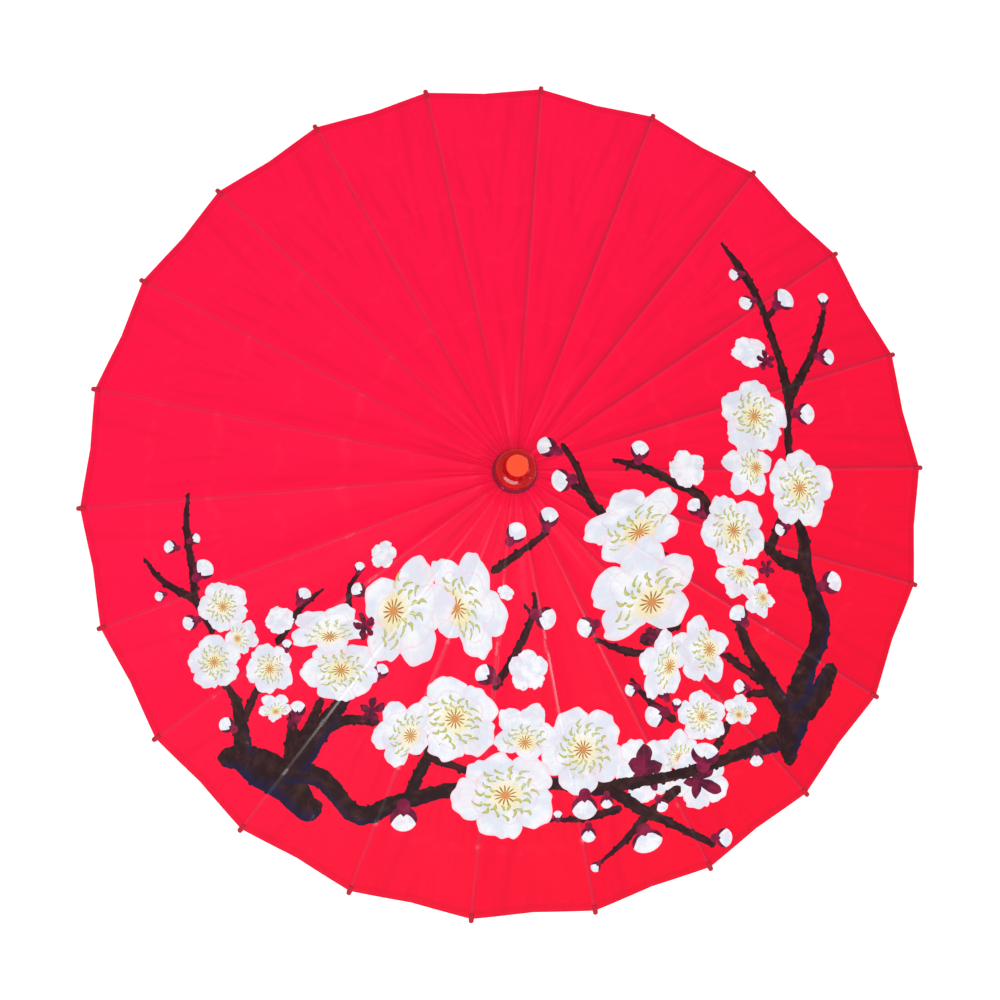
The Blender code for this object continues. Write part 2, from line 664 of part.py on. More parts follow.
def make_finial():
    """A red lacquered knob: a lipped base, a drum, a rounded shoulder and a flat-topped stem."""
    top = FINIAL_HEIGHT
    drum = FINIAL_RADIUS - 0.0019
    stem = FINIAL_TOP_RADIUS + 0.0005
    profile = [
        (0, FINIAL_SOCKET_DEPTH),
        (BORE_RADIUS, FINIAL_SOCKET_DEPTH),
        (BORE_RADIUS, 0),
        (FINIAL_RADIUS - 0.0006, 0),
        (FINIAL_RADIUS, 0.0010),
        (FINIAL_RADIUS, 0.0030),
        (FINIAL_RADIUS - 0.0006, 0.0040),
        (drum, 0.0044),
        (drum, top * 0.46),
        (drum - 0.0008, top * 0.53),
        (drum - 0.0028, top * 0.59),
        (drum - 0.0060, top * 0.66),
        (stem + 0.0014, top * 0.80),
        (stem, top * 0.90),
        (stem, top - 0.0008),
        (FINIAL_TOP_RADIUS - 0.0004, top),
        (0, top),
    ]
    mesh = turned("finial", profile, TURNED_STEPS, closed=False)
    return place("finial", mesh, LACQUER, location=(0, 0, FINIAL_BOTTOM))


# ---- Assembly

make_pole()
make_handle()
make_handle_cap()
make_ferrule()
make_catch()
make_catch_pin()
make_hub(FIRST_RIB_AZIMUTH)
make_hub_pin()
place(
    "hub_wire", threaded_wire("hub_wire"), STEEL, (0, 0, HUB_PIVOT_HEIGHT), (0, 0, FIRST_RIB_AZIMUTH)
)
runner_pivot = make_runner_pivot(make_ribs())
make_runner(runner_pivot)
place("runner_wire", threaded_wire("runner_wire"), STEEL, (-PIVOT_RADIUS, 0, 0), parent=runner_pivot)
make_canopy()
make_washer()
make_finial()
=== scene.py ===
# %% [markdown]
# # A silk-cloth parasol
#
# This lesson dresses a folding parasol. Its measured frame is ready: a pole, a hub, a runner,
# twenty-two ribs and twenty-two stretchers, each on its own joint. What is missing is everything
# that the eye enjoys: the dyed and printed silk, the lacquered crown knob, the bamboo and the
# thread.
#
# The first cell loads the frame and keeps its outer box.

# %% Load the measured frame
import json
import math

import bmesh
import bpy
import numpy as np
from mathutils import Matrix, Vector


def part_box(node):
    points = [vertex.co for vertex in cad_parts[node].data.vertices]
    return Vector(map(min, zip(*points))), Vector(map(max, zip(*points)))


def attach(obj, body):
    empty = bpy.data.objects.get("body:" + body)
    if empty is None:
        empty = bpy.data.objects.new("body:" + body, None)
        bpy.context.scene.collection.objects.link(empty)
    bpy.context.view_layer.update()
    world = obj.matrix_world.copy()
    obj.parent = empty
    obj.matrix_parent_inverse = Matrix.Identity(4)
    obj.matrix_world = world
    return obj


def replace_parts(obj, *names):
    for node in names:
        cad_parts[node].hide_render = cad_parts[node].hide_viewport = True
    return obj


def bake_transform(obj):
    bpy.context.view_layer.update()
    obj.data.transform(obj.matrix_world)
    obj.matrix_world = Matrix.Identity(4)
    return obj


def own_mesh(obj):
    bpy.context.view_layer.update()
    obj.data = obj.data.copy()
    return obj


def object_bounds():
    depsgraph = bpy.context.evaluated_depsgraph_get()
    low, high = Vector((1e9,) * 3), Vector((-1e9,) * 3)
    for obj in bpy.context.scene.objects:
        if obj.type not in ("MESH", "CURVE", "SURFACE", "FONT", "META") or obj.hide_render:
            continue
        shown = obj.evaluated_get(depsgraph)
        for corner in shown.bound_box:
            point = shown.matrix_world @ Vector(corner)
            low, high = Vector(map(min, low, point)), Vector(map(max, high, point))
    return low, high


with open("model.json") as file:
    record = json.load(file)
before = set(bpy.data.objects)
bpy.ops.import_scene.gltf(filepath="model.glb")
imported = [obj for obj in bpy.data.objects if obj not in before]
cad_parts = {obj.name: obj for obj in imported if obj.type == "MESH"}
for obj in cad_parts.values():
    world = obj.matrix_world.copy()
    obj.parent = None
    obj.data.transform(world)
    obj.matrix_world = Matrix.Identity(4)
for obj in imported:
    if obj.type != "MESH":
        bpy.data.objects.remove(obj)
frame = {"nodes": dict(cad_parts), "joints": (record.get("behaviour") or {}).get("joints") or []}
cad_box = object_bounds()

NODES = frame["nodes"]
RIBS = sum(name.startswith("rib_") for name in NODES)
MM = 0.001
print(RIBS, "ribs, box in mm:", [round(side / MM) for side in cad_box[1] - cad_box[0]])

# %% [markdown]
# ## Where things are
#
# Every size below comes from the frame. A rib's direction is the direction in which its hinge
# lies from the pole, and the slope of the cloth comes from two hinges: the one at the hub and
# the one where the stretcher meets the rib.

# %% Read the ribs' directions and slope from their hinges
JOINTS = {joint["name"]: joint for joint in frame["joints"]}


def fold_joint(number):
    """The name of the joint on which a rib folds down; the first one drives the others."""
    return "canopy_fold" if number == 1 else f"rib_{number:02d}_fold"


def rib_azimuth(number):
    x, y, _ = JOINTS[fold_joint(number)]["pos_m"]
    return math.atan2(y, x)


hinge = Vector(JOINTS["canopy_fold"]["pos_m"])
elbow = Vector(JOINTS["stretcher_01_turn"]["pos_m"])
HINGE_RADIUS, ELBOW_RADIUS = hinge.xy.length, elbow.xy.length
SLOPE = (hinge.z - elbow.z) / (ELBOW_RADIUS - HINGE_RADIUS)
HALF_STEP = math.pi / RIBS
TIP_RADIUS = max(-cad_box[0].x, cad_box[1].x)
print(f"slope {math.degrees(math.atan(SLOPE)):.1f} degrees, tips at {TIP_RADIUS / MM:.0f} mm")

# %% [markdown]
# ## Shader maths that reads like maths
#
# A material is a graph of nodes. Wiring it by hand hides the idea behind the links, so one small
# class wraps an output socket, and the usual operators add the Math nodes.

# %% A wire that can be added, multiplied and compared
class Wire:
    """An output socket; arithmetic with it adds Math nodes to its material."""

    def __init__(self, paint, socket):
        self.paint, self.socket = paint, socket

    def math(self, operation, *others):
        return self.paint.add("Math", {"operation": operation}, self, *others)

    def __add__(self, other):
        return self.math("ADD", other)

    def __mul__(self, other):
        return self.math("MULTIPLY", other)

    def __sub__(self, other):
        return self.math("SUBTRACT", other)

    def __truediv__(self, other):
        return self.math("DIVIDE", other)

    def __pow__(self, other):
        return self.math("POWER", other)

    def __lt__(self, other):
        return self.math("LESS_THAN", other)

    def __gt__(self, other):
        return self.math("GREATER_THAN", other)

    def __rsub__(self, other):
        return self.paint.add("Math", {"operation": "SUBTRACT"}, other, self)

    __radd__, __rmul__ = __add__, __mul__

    def fade(self, low, high):
        """0 where the value is low and 1 where it is high, with soft ends."""
        return self.paint.add("MapRange", {"interpolation_type": "SMOOTHSTEP"}, self, low, high)

    def parts(self):
        """The three numbers of a vector."""
        split = self.paint.add("SeparateXYZ", None, self).socket.node
        return [Wire(self.paint, socket) for socket in split.outputs]


print("wires can be added, multiplied, compared and faded")

# %% [markdown]
# The material itself is the second class. One method adds any node: it sets the node's own
# settings first, and then its sockets, by order or by name. The few methods after it are the
# nodes that this lesson uses again and again.

# %% A material that grows node by node
class Paint:
    """A material with one glossy surface, and the nodes that feed it."""

    def __init__(self, name, **finish):
        self.material = bpy.data.materials.new(name)
        self.material.use_nodes = True
        self.tree = self.material.node_tree
        self.surface = self.tree.nodes["Principled BSDF"]
        self.feed(self.surface, finish)

    def fill(self, socket, value):
        if isinstance(value, Wire):
            self.tree.links.new(value.socket, socket)
        elif socket.type == "RGBA":
            socket.default_value = (*value[:3], 1.0)
        else:
            socket.default_value = value

    def feed(self, node, named):
        for name, value in named.items():
            wanted = name.replace("_", " ")
            self.fill(next(s for s in node.inputs if s.enabled and s.name == wanted), value)

    def add(self, kind, settings=None, *values, output=0, **named):
        node = self.tree.nodes.new("ShaderNode" + kind)
        for key, value in (settings or {}).items():
            setattr(node, key, value)
        for socket, value in zip([s for s in node.inputs if s.enabled], values):
            self.fill(socket, value)
        self.feed(node, named)
        outputs = [s for s in node.outputs if s.enabled]
        if isinstance(output, str):
            return Wire(self, next(s for s in outputs if s.name == output))
        return Wire(self, outputs[output])

    def mix(self, share, first, second):
        """A colour between two: the first where share is 0, the second where it is 1."""
        return self.add("Mix", {"data_type": "RGBA"}, share, first, second)

    def choose(self, share, first, second):
        """A vector between two."""
        return self.add("Mix", {"data_type": "VECTOR"}, share, first, second)

    def vector(self, x, y, z):
        return self.add("CombineXYZ", None, x, y, z)

    def grain(self, vector, scale, detail=2.0, roughness=0.5):
        """Soft random numbers from 0 to 1 over the surface."""
        return self.add("TexNoise", None, vector, Scale=scale, Detail=detail, Roughness=roughness)

    def stretched(self, vector, x, y, z):
        """The vector with each of its numbers multiplied."""
        return self.add("VectorMath", {"operation": "MULTIPLY"}, vector, (x, y, z))

    def carried(self, name):
        """A vector that the mesh carries at its corners."""
        return self.add("Attribute", {"attribute_name": name}, output="Vector")

    def place(self):
        """Where a point is on the piece itself, in metres."""
        return self.add("TexCoord", output="Object")

    def bumped(self, height, distance):
        return self.add("Bump", None, Distance=distance, Height=height, output="Normal")

    def done(self, **named):
        self.feed(self.surface, named)
        return self.material


print("materials are ready to be written")

# %% [markdown]
# ## The camera
#
# A parasol is admired from above, so the camera hangs over it, leaning a little to one side. A
# long lens from nearly two metres keeps the round canopy round.

# %% Hang the camera over the canopy
def put(name, data):
    """A new object in the scene, made of a mesh, a light or a camera."""
    thing = bpy.data.objects.new(name, data)
    bpy.context.scene.collection.objects.link(thing)
    return thing


camera = put("camera", bpy.data.cameras.new("camera"))
camera.data.sensor_width, camera.data.lens = 36.0, 57.6
camera.location = (-0.1087, -0.2410, 1.9299)
camera.rotation_euler = [math.radians(angle) for angle in (8.54, -3.74, -0.39)]
bpy.context.scene.camera = camera
print("camera is", round(camera.location.length, 2), "m from the pole's foot")

# %% [markdown]
# ## The light
#
# The light is plain. Most of it comes from an even white room. A wide, soft sun shines from where
# the camera hangs, so its shadow hides under the parasol. Three small lamps hang as high as the
# camera and south of it, and they have one task: they draw narrow gleams on the satin over the
# ribs and on the lacquer. Plain colour management keeps the dye as strong as it is.

# %% An even room, a soft sun and three small lamps
LAMP_SIZE, SILK_MIDDLE = 0.14, Vector((0, 0, 0.4))
for side, place, power in (
    ("west", (-0.62, -0.75, 1.9), 2.2),
    ("east", (0.95, -0.35, 1.9), 1.2),
    ("south", (0.38, -0.80, 1.9), 2.2),
):
    lamp = put(f"gleam_lamp_{side}", bpy.data.lights.new(f"gleam_lamp_{side}", "AREA"))
    lamp.data.shape, lamp.data.size, lamp.data.energy = "DISK", LAMP_SIZE, power
    lamp.location = place
    lamp.rotation_euler = (SILK_MIDDLE - Vector(place)).to_track_quat("-Z", "Y").to_euler()

sun = put("soft_sky_light", bpy.data.lights.new("soft_sky_light", "SUN"))
sun.data.energy, sun.data.angle = 0.95, math.radians(20)
sun.rotation_euler = (camera.location - Vector((0, 0, 0.45))).to_track_quat("Z", "Y").to_euler()

world = bpy.data.worlds.new("bright_room")
world.use_nodes = True
room = world.node_tree.nodes["Background"]
room.inputs["Color"].default_value = (1, 1, 1, 1)
room.inputs["Strength"].default_value = 0.65
bpy.context.scene.world = world
bpy.context.scene.view_settings.view_transform = "Standard"
print("the room's strength is", round(room.inputs["Strength"].default_value, 2))

# %% [markdown]
# The floor is a wide pale sheet, a millimetre under the pole's foot. It glows faintly, as paper
# on a lit table does, which keeps it white right up to the edge of the silk.

# %% The pale floor
FLOOR_HALF = 6.0
floor_mesh = bpy.data.meshes.new("floor")
floor_mesh.from_pydata(
    [(x * FLOOR_HALF, y * FLOOR_HALF, -MM) for x, y in ((-1, -1), (1, -1), (1, 1), (-1, 1))],
    [], [(0, 1, 2, 3)])
floor = put("floor", floor_mesh)
floor_paint = Paint("pale_floor", Roughness=0.9, Emission_Color=(1, 1, 1), Emission_Strength=0.3)
speckle = floor_paint.grain(floor_paint.place(), 40.0)
floor.data.materials.append(
    floor_paint.done(Base_Color=floor_paint.mix(speckle, (0.90, 0.90, 0.90), (0.94, 0.94, 0.94)))
)
print("the floor is", 2 * FLOOR_HALF, "m wide")

# %% [markdown]
# ## The spray of plum blossom
#
# The silk carries a print: old plum branches with white blossom, a motif as common on parasols
# as stripes on a deckchair. An image texture would be the usual way, but here the print is drawn
# by the material itself. The plan below says, in centimetres from the pole, where each branch
# runs and where each flower sits. Later the mesh carries that plan to the material as vectors.

# %% The plan of the branches: points with east, north and half width
BRANCHES = [
    # the old trunk at the west and the long branch that leaves it
    [(-26.4, -25.6, 0.9), (-25.1, -25.6, 1.2), (-23.1, -26.6, 1.75), (-21.1, -27.8, 1.7),
     (-19.6, -29.5, 1.4), (-18.8, -30.3, 1.2), (-18.4, -30.2, 1.0)],
    [(-20.6, -26.9, 1.1), (-19.0, -27.1, 0.9), (-17.4, -27.7, 0.9), (-15.9, -29.3, 0.85),
     (-14.7, -30.7, 0.85), (-13.1, -30.9, 0.85), (-11.2, -30.0, 0.75), (-8.8, -29.4, 0.7),
     (-5.7, -28.7, 0.65), (-1.1, -28.4, 0.65), (4.4, -28.2, 0.6), (8.2, -28.6, 0.75),
     (12.0, -28.1, 0.5), (16.8, -27.2, 0.5), (21.6, -25.6, 0.6), (25.2, -24.5, 1.0)],
    [(-24.8, -25.4, 0.9), (-25.2, -21.7, 0.6), (-26.0, -19.5, 0.35), (-27.2, -18.4, 0.2)],
    [(-25.0, -22.4, 0.4), (-23.4, -19.0, 0.3)],
    [(-20.4, -26.4, 0.8), (-20.3, -23.0, 0.5), (-20.2, -20.8, 0.3)],
    [(-20.0, -25.8, 0.9), (-18.6, -22.6, 0.5), (-17.6, -20.4, 0.35)],
    [(-19.8, -26.2, 1.1), (-17.4, -22.8, 0.9), (-15.4, -20.2, 0.6)],
    [(-17.6, -23.2, 0.6), (-15.2, -22.2, 0.45), (-12.6, -22.4, 0.4)],
    [(-34.4, -7.0, 0.12), (-32.6, -9.2, 0.3), (-29.4, -11.2, 0.35), (-27.8, -14.0, 0.3)],
    [(-30.2, -1.0, 0.12), (-30.4, -4.0, 0.3), (-29.8, -8.0, 0.35), (-29.4, -11.0, 0.35)],
    [(-21.6, -15.0, 0.4), (-19.6, -12.0, 0.3), (-17.4, -10.2, 0.12)],
    [(-14.0, -8.7, 0.15), (-15.0, -10.2, 0.25), (-15.0, -13.0, 0.3)],
    [(-9.4, -29.0, 0.6), (-8.2, -26.4, 0.5), (-7.4, -24.6, 0.4)],
    [(-7.8, -25.6, 0.45), (-5.6, -26.4, 0.35), (-3.6, -27.2, 0.3)],
    [(1.9, -10.6, 0.1), (1.9, -12.6, 0.3), (0.6, -15.6, 0.35), (-1.6, -19.4, 0.35)],
    [(1.0, -11.8, 0.1), (2.0, -13.2, 0.25)],
    [(3.0, -5.4, 0.28), (0.8, -7.0, 0.32), (-1.8, -8.8, 0.4)],
    # the branch beside the crown knob
    [(4.6, 2.7, 0.3), (5.8, 0.8, 0.35), (7.2, -2.4, 0.42), (9.4, -4.4, 0.5)],
    [(5.4, -0.9, 0.3), (7.0, -1.9, 0.5)],
    [(9.3, 1.6, 0.15), (12.4, 0.9, 0.45), (15.0, -0.2, 0.4), (18.0, -1.6, 0.5), (18.8, -3.6, 0.4)],
    [(11.0, 1.3, 0.2), (10.6, 0.6, 0.15)],
    # the twigs below the long branch
    [(3.4, -31.5, 0.12), (6.6, -31.4, 0.3), (10.0, -30.6, 0.4)],
    [(9.0, -28.6, 0.6), (11.8, -30.4, 0.55), (15.0, -32.0, 0.4), (19.2, -34.0, 0.3)],
    [(8.2, -35.6, 0.12), (10.6, -33.6, 0.3), (12.4, -31.6, 0.4), (15.6, -28.8, 0.45)],
    # the old trunk at the east, its stump and its two young tops
    [(26.6, -26.2, 0.6), (26.6, -24.3, 1.3), (27.4, -21.3, 1.5), (27.9, -18.9, 1.15), (28.5, -17.2, 0.9),
     (29.5, -15.2, 0.9), (29.9, -13.0, 0.95), (29.1, -10.6, 0.8), (28.3, -8.2, 0.75), (28.2, -5.4, 0.6),
     (27.6, -2.4, 0.5), (27.0, 3.4, 0.4), (27.3, 8.8, 0.45)],
    [(30.7, -17.7, 0.75), (29.8, -19.6, 0.95), (28.2, -21.7, 1.1)],
    [(27.3, 8.2, 0.55), (26.4, 12.6, 0.4), (25.0, 17.4, 0.35), (23.2, 21.4, 0.45), (21.2, 24.3, 0.15)],
    [(26.6, 17.9, 0.3), (25.4, 16.6, 0.3)],
    [(27.4, 8.8, 0.5), (29.6, 12.4, 0.4), (30.8, 15.4, 0.35), (31.6, 18.0, 0.25)],
    [(26.4, -21.6, 0.9), (24.1, -18.2, 0.65), (22.6, -15.9, 0.5), (21.5, -13.4, 0.4)],
    [(25.4, -19.7, 0.5), (22.6, -18.0, 0.38), (20.4, -16.4, 0.38)],
    [(24.6, -19.9, 0.4), (22.4, -20.0, 0.3)],
    [(28.4, -8.2, 0.7), (26.0, -7.4, 0.6), (24.2, -6.0, 0.4)],
    [(24.6, -6.6, 0.45), (25.6, -4.2, 0.35), (26.2, -2.6, 0.25)],
    [(11.0, -18.4, 0.12), (12.6, -20.4, 0.3), (15.2, -22.4, 0.4)],
    [(7.6, -15.0, 0.2), (10.4, -16.0, 0.35), (13.2, -16.4, 0.4)],
    [(20.6, -22.6, 0.3), (19.6, -24.6, 0.35), (18.6, -26.2, 0.4)],
    [(12.4, -15.0, 0.6), (15.4, -13.6, 0.5)],
]
print(sum(len(points) for points in BRANCHES), "points in the plan of the branches")

# %% [markdown]
# A branch grows in curves, and a plan of straight lines would look like wire. A Catmull-Rom curve
# runs smoothly through all the points of the plan, and the half width goes along as a third
# coordinate.

# %% Round the branches off
def smooth_route(points, steps=8):
    """Points along a Catmull-Rom curve through the given ones, in metres."""
    known = np.array(points, float) / 100
    padded = np.vstack([2 * known[0] - known[1], known, 2 * known[-1] - known[-2]])
    route = []
    for a, b, c, d in zip(padded, padded[1:], padded[2:], padded[3:]):
        for t in np.linspace(0, 1, steps, endpoint=False):
            curve = (2 * b + (c - a) * t + (2 * a - 5 * b + 4 * c - d) * t**2
                     + (3 * b - a - 3 * c + d) * t**3)
            route.append(curve / 2)
    route.append(known[-1])
    return np.array(route)


ROUTES = [smooth_route(points) for points in BRANCHES]
print(len(ROUTES), "branches and twigs")

# %% [markdown]
# A flower's entry gives its place, its radius, the way it looks and how narrow it appears across
# that way. Six kinds are enough: an open flower, one seen from the side, one seen from behind
# with its dark sepals, one that is half open, a bud, and a bare dark calyx.

# %% The plan of the flowers: east, north, radius, turn and narrowing
OPEN, SIDEWAYS, BEHIND, HALF_OPEN, BUD, CALYX = range(6)
FLOWERS = {
    OPEN: [
        (-26.8, -11.7, 2.4, 40, 0.95), (-27.6, -16.8, 2.5, 80, 1.0), (-22.4, -17.5, 2.3, 0, 0.95),
        (-15.8, -17.7, 3.6, 90, 0.78), (-5.3, -22.2, 4.1, 60, 0.95), (-0.6, -29.2, 4.7, 90, 0.86),
        (6.6, -25.1, 4.0, 70, 1.0), (21.1, -4.7, 3.6, 190, 0.86), (28.0, -0.4, 3.7, 180, 0.88),
        (23.6, 6.5, 3.4, 15, 1.0), (18.0, -22.1, 2.4, 45, 0.95),
    ],
    SIDEWAYS: [
        (-25.0, -14.4, 1.75, 30, 0.9), (-16.9, -13.9, 3.6, 95, 0.62), (-9.7, -12.7, 5.2, 345, 0.80),
        (-4.2, -11.8, 5.1, 20, 0.66), (-10.2, -23.4, 3.2, 160, 0.85), (1.2, -23.5, 3.0, 90, 0.95),
        (11.3, -4.2, 5.3, 118, 0.62), (12.3, -10.4, 5.7, 122, 0.76), (21.5, -9.2, 2.3, 245, 0.85),
        (17.8, -16.0, 3.2, 190, 0.85), (14.1, -17.3, 3.3, 165, 0.66), (22.7, 1.4, 2.8, 180, 0.9),
        (21.6, -21.5, 1.6, 80, 0.9), (15.4, -25.4, 2.2, 130, 0.9), (23.6, -11.2, 1.7, 210, 0.9),
        (-21.9, -21.0, 1.6, 100, 0.8),
    ],
    BEHIND: [
        (12.4, -27.0, 3.0, 20, 0.9), (17.6, -28.0, 2.9, 70, 0.95),
    ],
    HALF_OPEN: [
        (-21.5, -13.0, 1.4, 100, 0.9), (1.4, -17.8, 1.9, 20, 0.95), (16.6, 1.0, 1.8, 90, 1.0),
        (-11.9, -7.2, 1.3, 150, 0.9), (-0.7, -10.8, 0.8, 60, 0.8), (23.5, 13.0, 1.9, 80, 0.8),
    ],
    BUD: [
        (-31.9, -6.0, 0.65, 170, 1), (-29.6, -5.3, 0.55, 20, 1), (-28.7, -8.2, 0.95, 50, 1.1),
        (-29.9, -13.1, 0.75, 200, 1), (-32.8, -10.6, 0.5, 200, 1), (-26.4, -22.6, 0.75, 150, 1),
        (-19.8, -21.2, 0.8, 90, 1), (-20.8, -15.3, 0.5, 90, 1), (-19.3, -10.8, 0.75, 60, 1),
        (-14.1, -8.3, 0.5, 80, 1), (-14.2, -10.4, 0.7, 150, 1), (-12.1, -17.8, 0.7, 60, 1),
        (3.0, -13.1, 1.0, 340, 1.1), (-10.0, -31.3, 1.2, 270, 1.1), (6.8, -30.4, 1.15, 270, 1.1),
        (7.2, -32.9, 0.75, 270, 1), (8.9, -29.9, 0.65, 270, 1), (4.3, -31.1, 0.45, 90, 1),
        (3.1, 2.5, 1.0, 160, 1.0), (4.4, -0.6, 1.0, 190, 1.1), (3.2, -4.0, 0.95, 75, 1.0),
        (0.2, -5.4, 0.95, 55, 1.0), (12.0, 2.6, 0.95, 80, 1.0), (17.4, -2.6, 0.9, 130, 1.0),
        (27.3, 18.6, 1.0, 40, 1.2), (22.5, 21.0, 0.7, 190, 1), (23.4, 18.0, 0.8, 200, 1),
        (31.5, 18.9, 0.7, 90, 0.9), (31.4, 12.9, 0.85, 0, 1.1), (28.9, 7.0, 1.0, 0, 1.1),
        (31.0, -9.4, 1.05, 20, 1.1), (13.4, -22.0, 1.0, 200, 1.1), (11.1, -19.6, 0.65, 200, 1),
        (-2.5, -18.2, 1.0, 150, 1), (23.3, -26.1, 0.7, 270, 1),
        (14.2, -19.8, 0.7, 120, 1), (20.2, -33.4, 0.85, 0, 1.1), (7.9, -35.9, 0.5, 230, 1),
        (12.8, -33.6, 1.1, 290, 1.4), (6.8, -13.9, 0.9, 200, 1.1), (18.3, -25.6, 1.1, 80, 1.3),
        (21.5, -12.6, 0.95, 130, 1.0), (26.0, -4.4, 0.7, 200, 1), (21.7, -19.3, 0.7, 170, 1),
        (14.1, -30.3, 0.65, 300, 1), (15.5, -20.9, 0.5, 80, 1),
    ],
    CALYX: [
        (25.1, 12.2, 1.1, 30, 0.9),
        (-13.6, -13.7, 1.3, 20, 0.8), (-6.7, -11.7, 1.2, 80, 0.7), (-13.0, -21.4, 1.5, 140, 0.8),
        (-8.8, -24.9, 0.9, 30, 0.9), (13.7, -6.9, 1.0, 60, 0.6), (24.4, -8.2, 1.0, 20, 0.8),
        (13.2, -14.6, 1.3, 100, 0.7), (19.6, -15.9, 1.0, 50, 0.8), (-20.3, -22.4, 0.7, 10, 0.9),
    ],
}
print(sum(len(listed) for listed in FLOWERS.values()), "flowers and buds")

# %% [markdown]
# The plan gives what the eye sees of each flower. Its petals end a little inside the circle that
# the material draws in, so every flower is drawn a touch larger. Of a bud the plan gives only the
# white ball, which is the far end of a longer shape with a dark cup and a stalk. Each mark also
# gets a chance number of its own, added to its kind, so that no two flowers are drawn alike.

# %% Turn the plan into marks
FLOWER_SCALE, BUD_LENGTH, BUD_SHIFT = 1.05, 1.6, 0.3
CHANCE_STEP, CHANCE_END = 0.37, 0.9
FLOWER_MARKS = []
for kind, listed in FLOWERS.items():
    for east, north, radius, turn, narrowing in listed:
        size = Vector((radius * narrowing, radius)) * FLOWER_SCALE / 100
        spot = Vector((east, north)) / 100
        angle = math.radians(turn)
        if kind == BUD:
            size = Vector((radius, radius * narrowing)) * BUD_LENGTH / 100
            spot -= Vector((math.cos(angle), math.sin(angle))) * size.x * BUD_SHIFT
        FLOWER_MARKS.append({
            "place": tuple(spot), "size": size, "reach": max(size), "turn": angle,
            "code": kind + (CHANCE_STEP * len(FLOWER_MARKS)) % CHANCE_END,
        })
widest = max(mark["reach"] for mark in FLOWER_MARKS)
print("the widest flower is", round(2 * widest / MM), "mm across")

# %% [markdown]
# The material can only draw one mark at a time from one vector, and marks overlap: a bud sits on
# a twig, a twig leaves a trunk. So the marks are dealt into layers, as a printer deals colours
# into screens: no two marks that lie close together share a layer.

# %% Deal the marks into layers
MESH_CELL = 7 * MM  # two marks of a layer are never in the same face of the cloth's mesh
FLOWER_REACH = 1.12  # how far a petal may reach, in flower radii
BRANCH_MARGIN = 3  # mm beside a branch in which bark and spurs may stand out


def deal(marks, clash):
    """The layer of each mark, so that marks which clash are on different layers."""
    layers = []
    for index, mark in enumerate(marks):
        taken = {layers[other] for other in range(index) if clash(mark, marks[other])}
        layers.append(next(layer for layer in range(len(marks)) if layer not in taken))
    return layers


def flowers_clash(one, other):
    gap = math.dist(one["place"], other["place"])
    return gap < FLOWER_REACH * (one["reach"] + other["reach"]) + MESH_CELL


def branches_clash(one, other):
    gaps = np.linalg.norm(one[:, None, :2] - other[None, :, :2], axis=2)
    widths = one[:, None, 2] + other[None, :, 2]
    return bool((gaps < widths + MESH_CELL + BRANCH_MARGIN * MM).any())


FLOWER_LAYERS = deal(FLOWER_MARKS, flowers_clash)
BRANCH_LAYERS = deal(ROUTES, branches_clash)
FLOWER_SCREENS, BRANCH_SCREENS = max(FLOWER_LAYERS) + 1, max(BRANCH_LAYERS) + 1
print(FLOWER_SCREENS, "screens for the flowers and", BRANCH_SCREENS, "for the branches")

# %% [markdown]
# ## The shape of the silk
#
# Stretched silk runs straight down each rib and sags a little between two of them. It is pinned
# under the crown knob, where it gathers in small pleats. The frame's plain canopy gives the line
# over a rib, and the real sheet lies in the lower half of its thickness.

# %% Read the silk's line over a rib from the plain canopy
SILK_DROP, SILK_THICKNESS = 0.45 * MM, 0.35 * MM
STRIP_HALF = 2.4 * MM  # the silk that is glued to a rib's back
CROWN_EDGE, COLLAR_EDGE = 19.5 * MM, 34 * MM
SILK_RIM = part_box("canopy")[1].x / math.cos(rib_azimuth(1))

canopy_vertices = np.array([v.co for v in NODES["canopy"].data.vertices])
first_rib = np.array([math.cos(rib_azimuth(1)), math.sin(rib_azimuth(1))])
along_rib = canopy_vertices[:, :2] @ first_rib
beside_rib = canopy_vertices[:, 0] * first_rib[1] - canopy_vertices[:, 1] * first_rib[0]
on_line = (np.abs(beside_rib) < 0.1 * MM) & (along_rib > 0)
line = {}
for distance, height in zip(along_rib[on_line].round(5), canopy_vertices[on_line, 2]):
    line[distance] = max(height, line.get(distance, 0))
LINE_RADII = np.array(sorted(line))
LINE_HEIGHTS = np.array([line[radius] for radius in LINE_RADII]) - SILK_DROP
BEND_STEPS = np.linspace(-4, 4, 9) * MM


def rib_line(radius):
    """The silk's height over a rib, with the bends at the crown smoothed."""
    beyond = np.maximum(radius - LINE_RADII[-1], 0) * SLOPE
    heights = sum(np.interp(radius + step, LINE_RADII, LINE_HEIGHTS) for step in BEND_STEPS)
    return heights / len(BEND_STEPS) - beyond


print("silk over a rib at 10, 20 and 40 cm:", rib_line(np.array([0.1, 0.2, 0.4])).round(4))

# %% [markdown]
# One formula gives the silk's height anywhere: the line over the ribs, less the sag between them,
# and the pleats round the crown. Because all pieces use it, neighbours meet without a seam and
# share the same shading.

# %% One height for all the silk
SAG, DEEPEST = 3.0 * MM, 0.85  # the sag is deepest a little way in from the rim
PLEAT_DEPTH, PLEAT_REACH, PLEATS_PER_RIB = 0.35 * MM, 16 * MM, 4


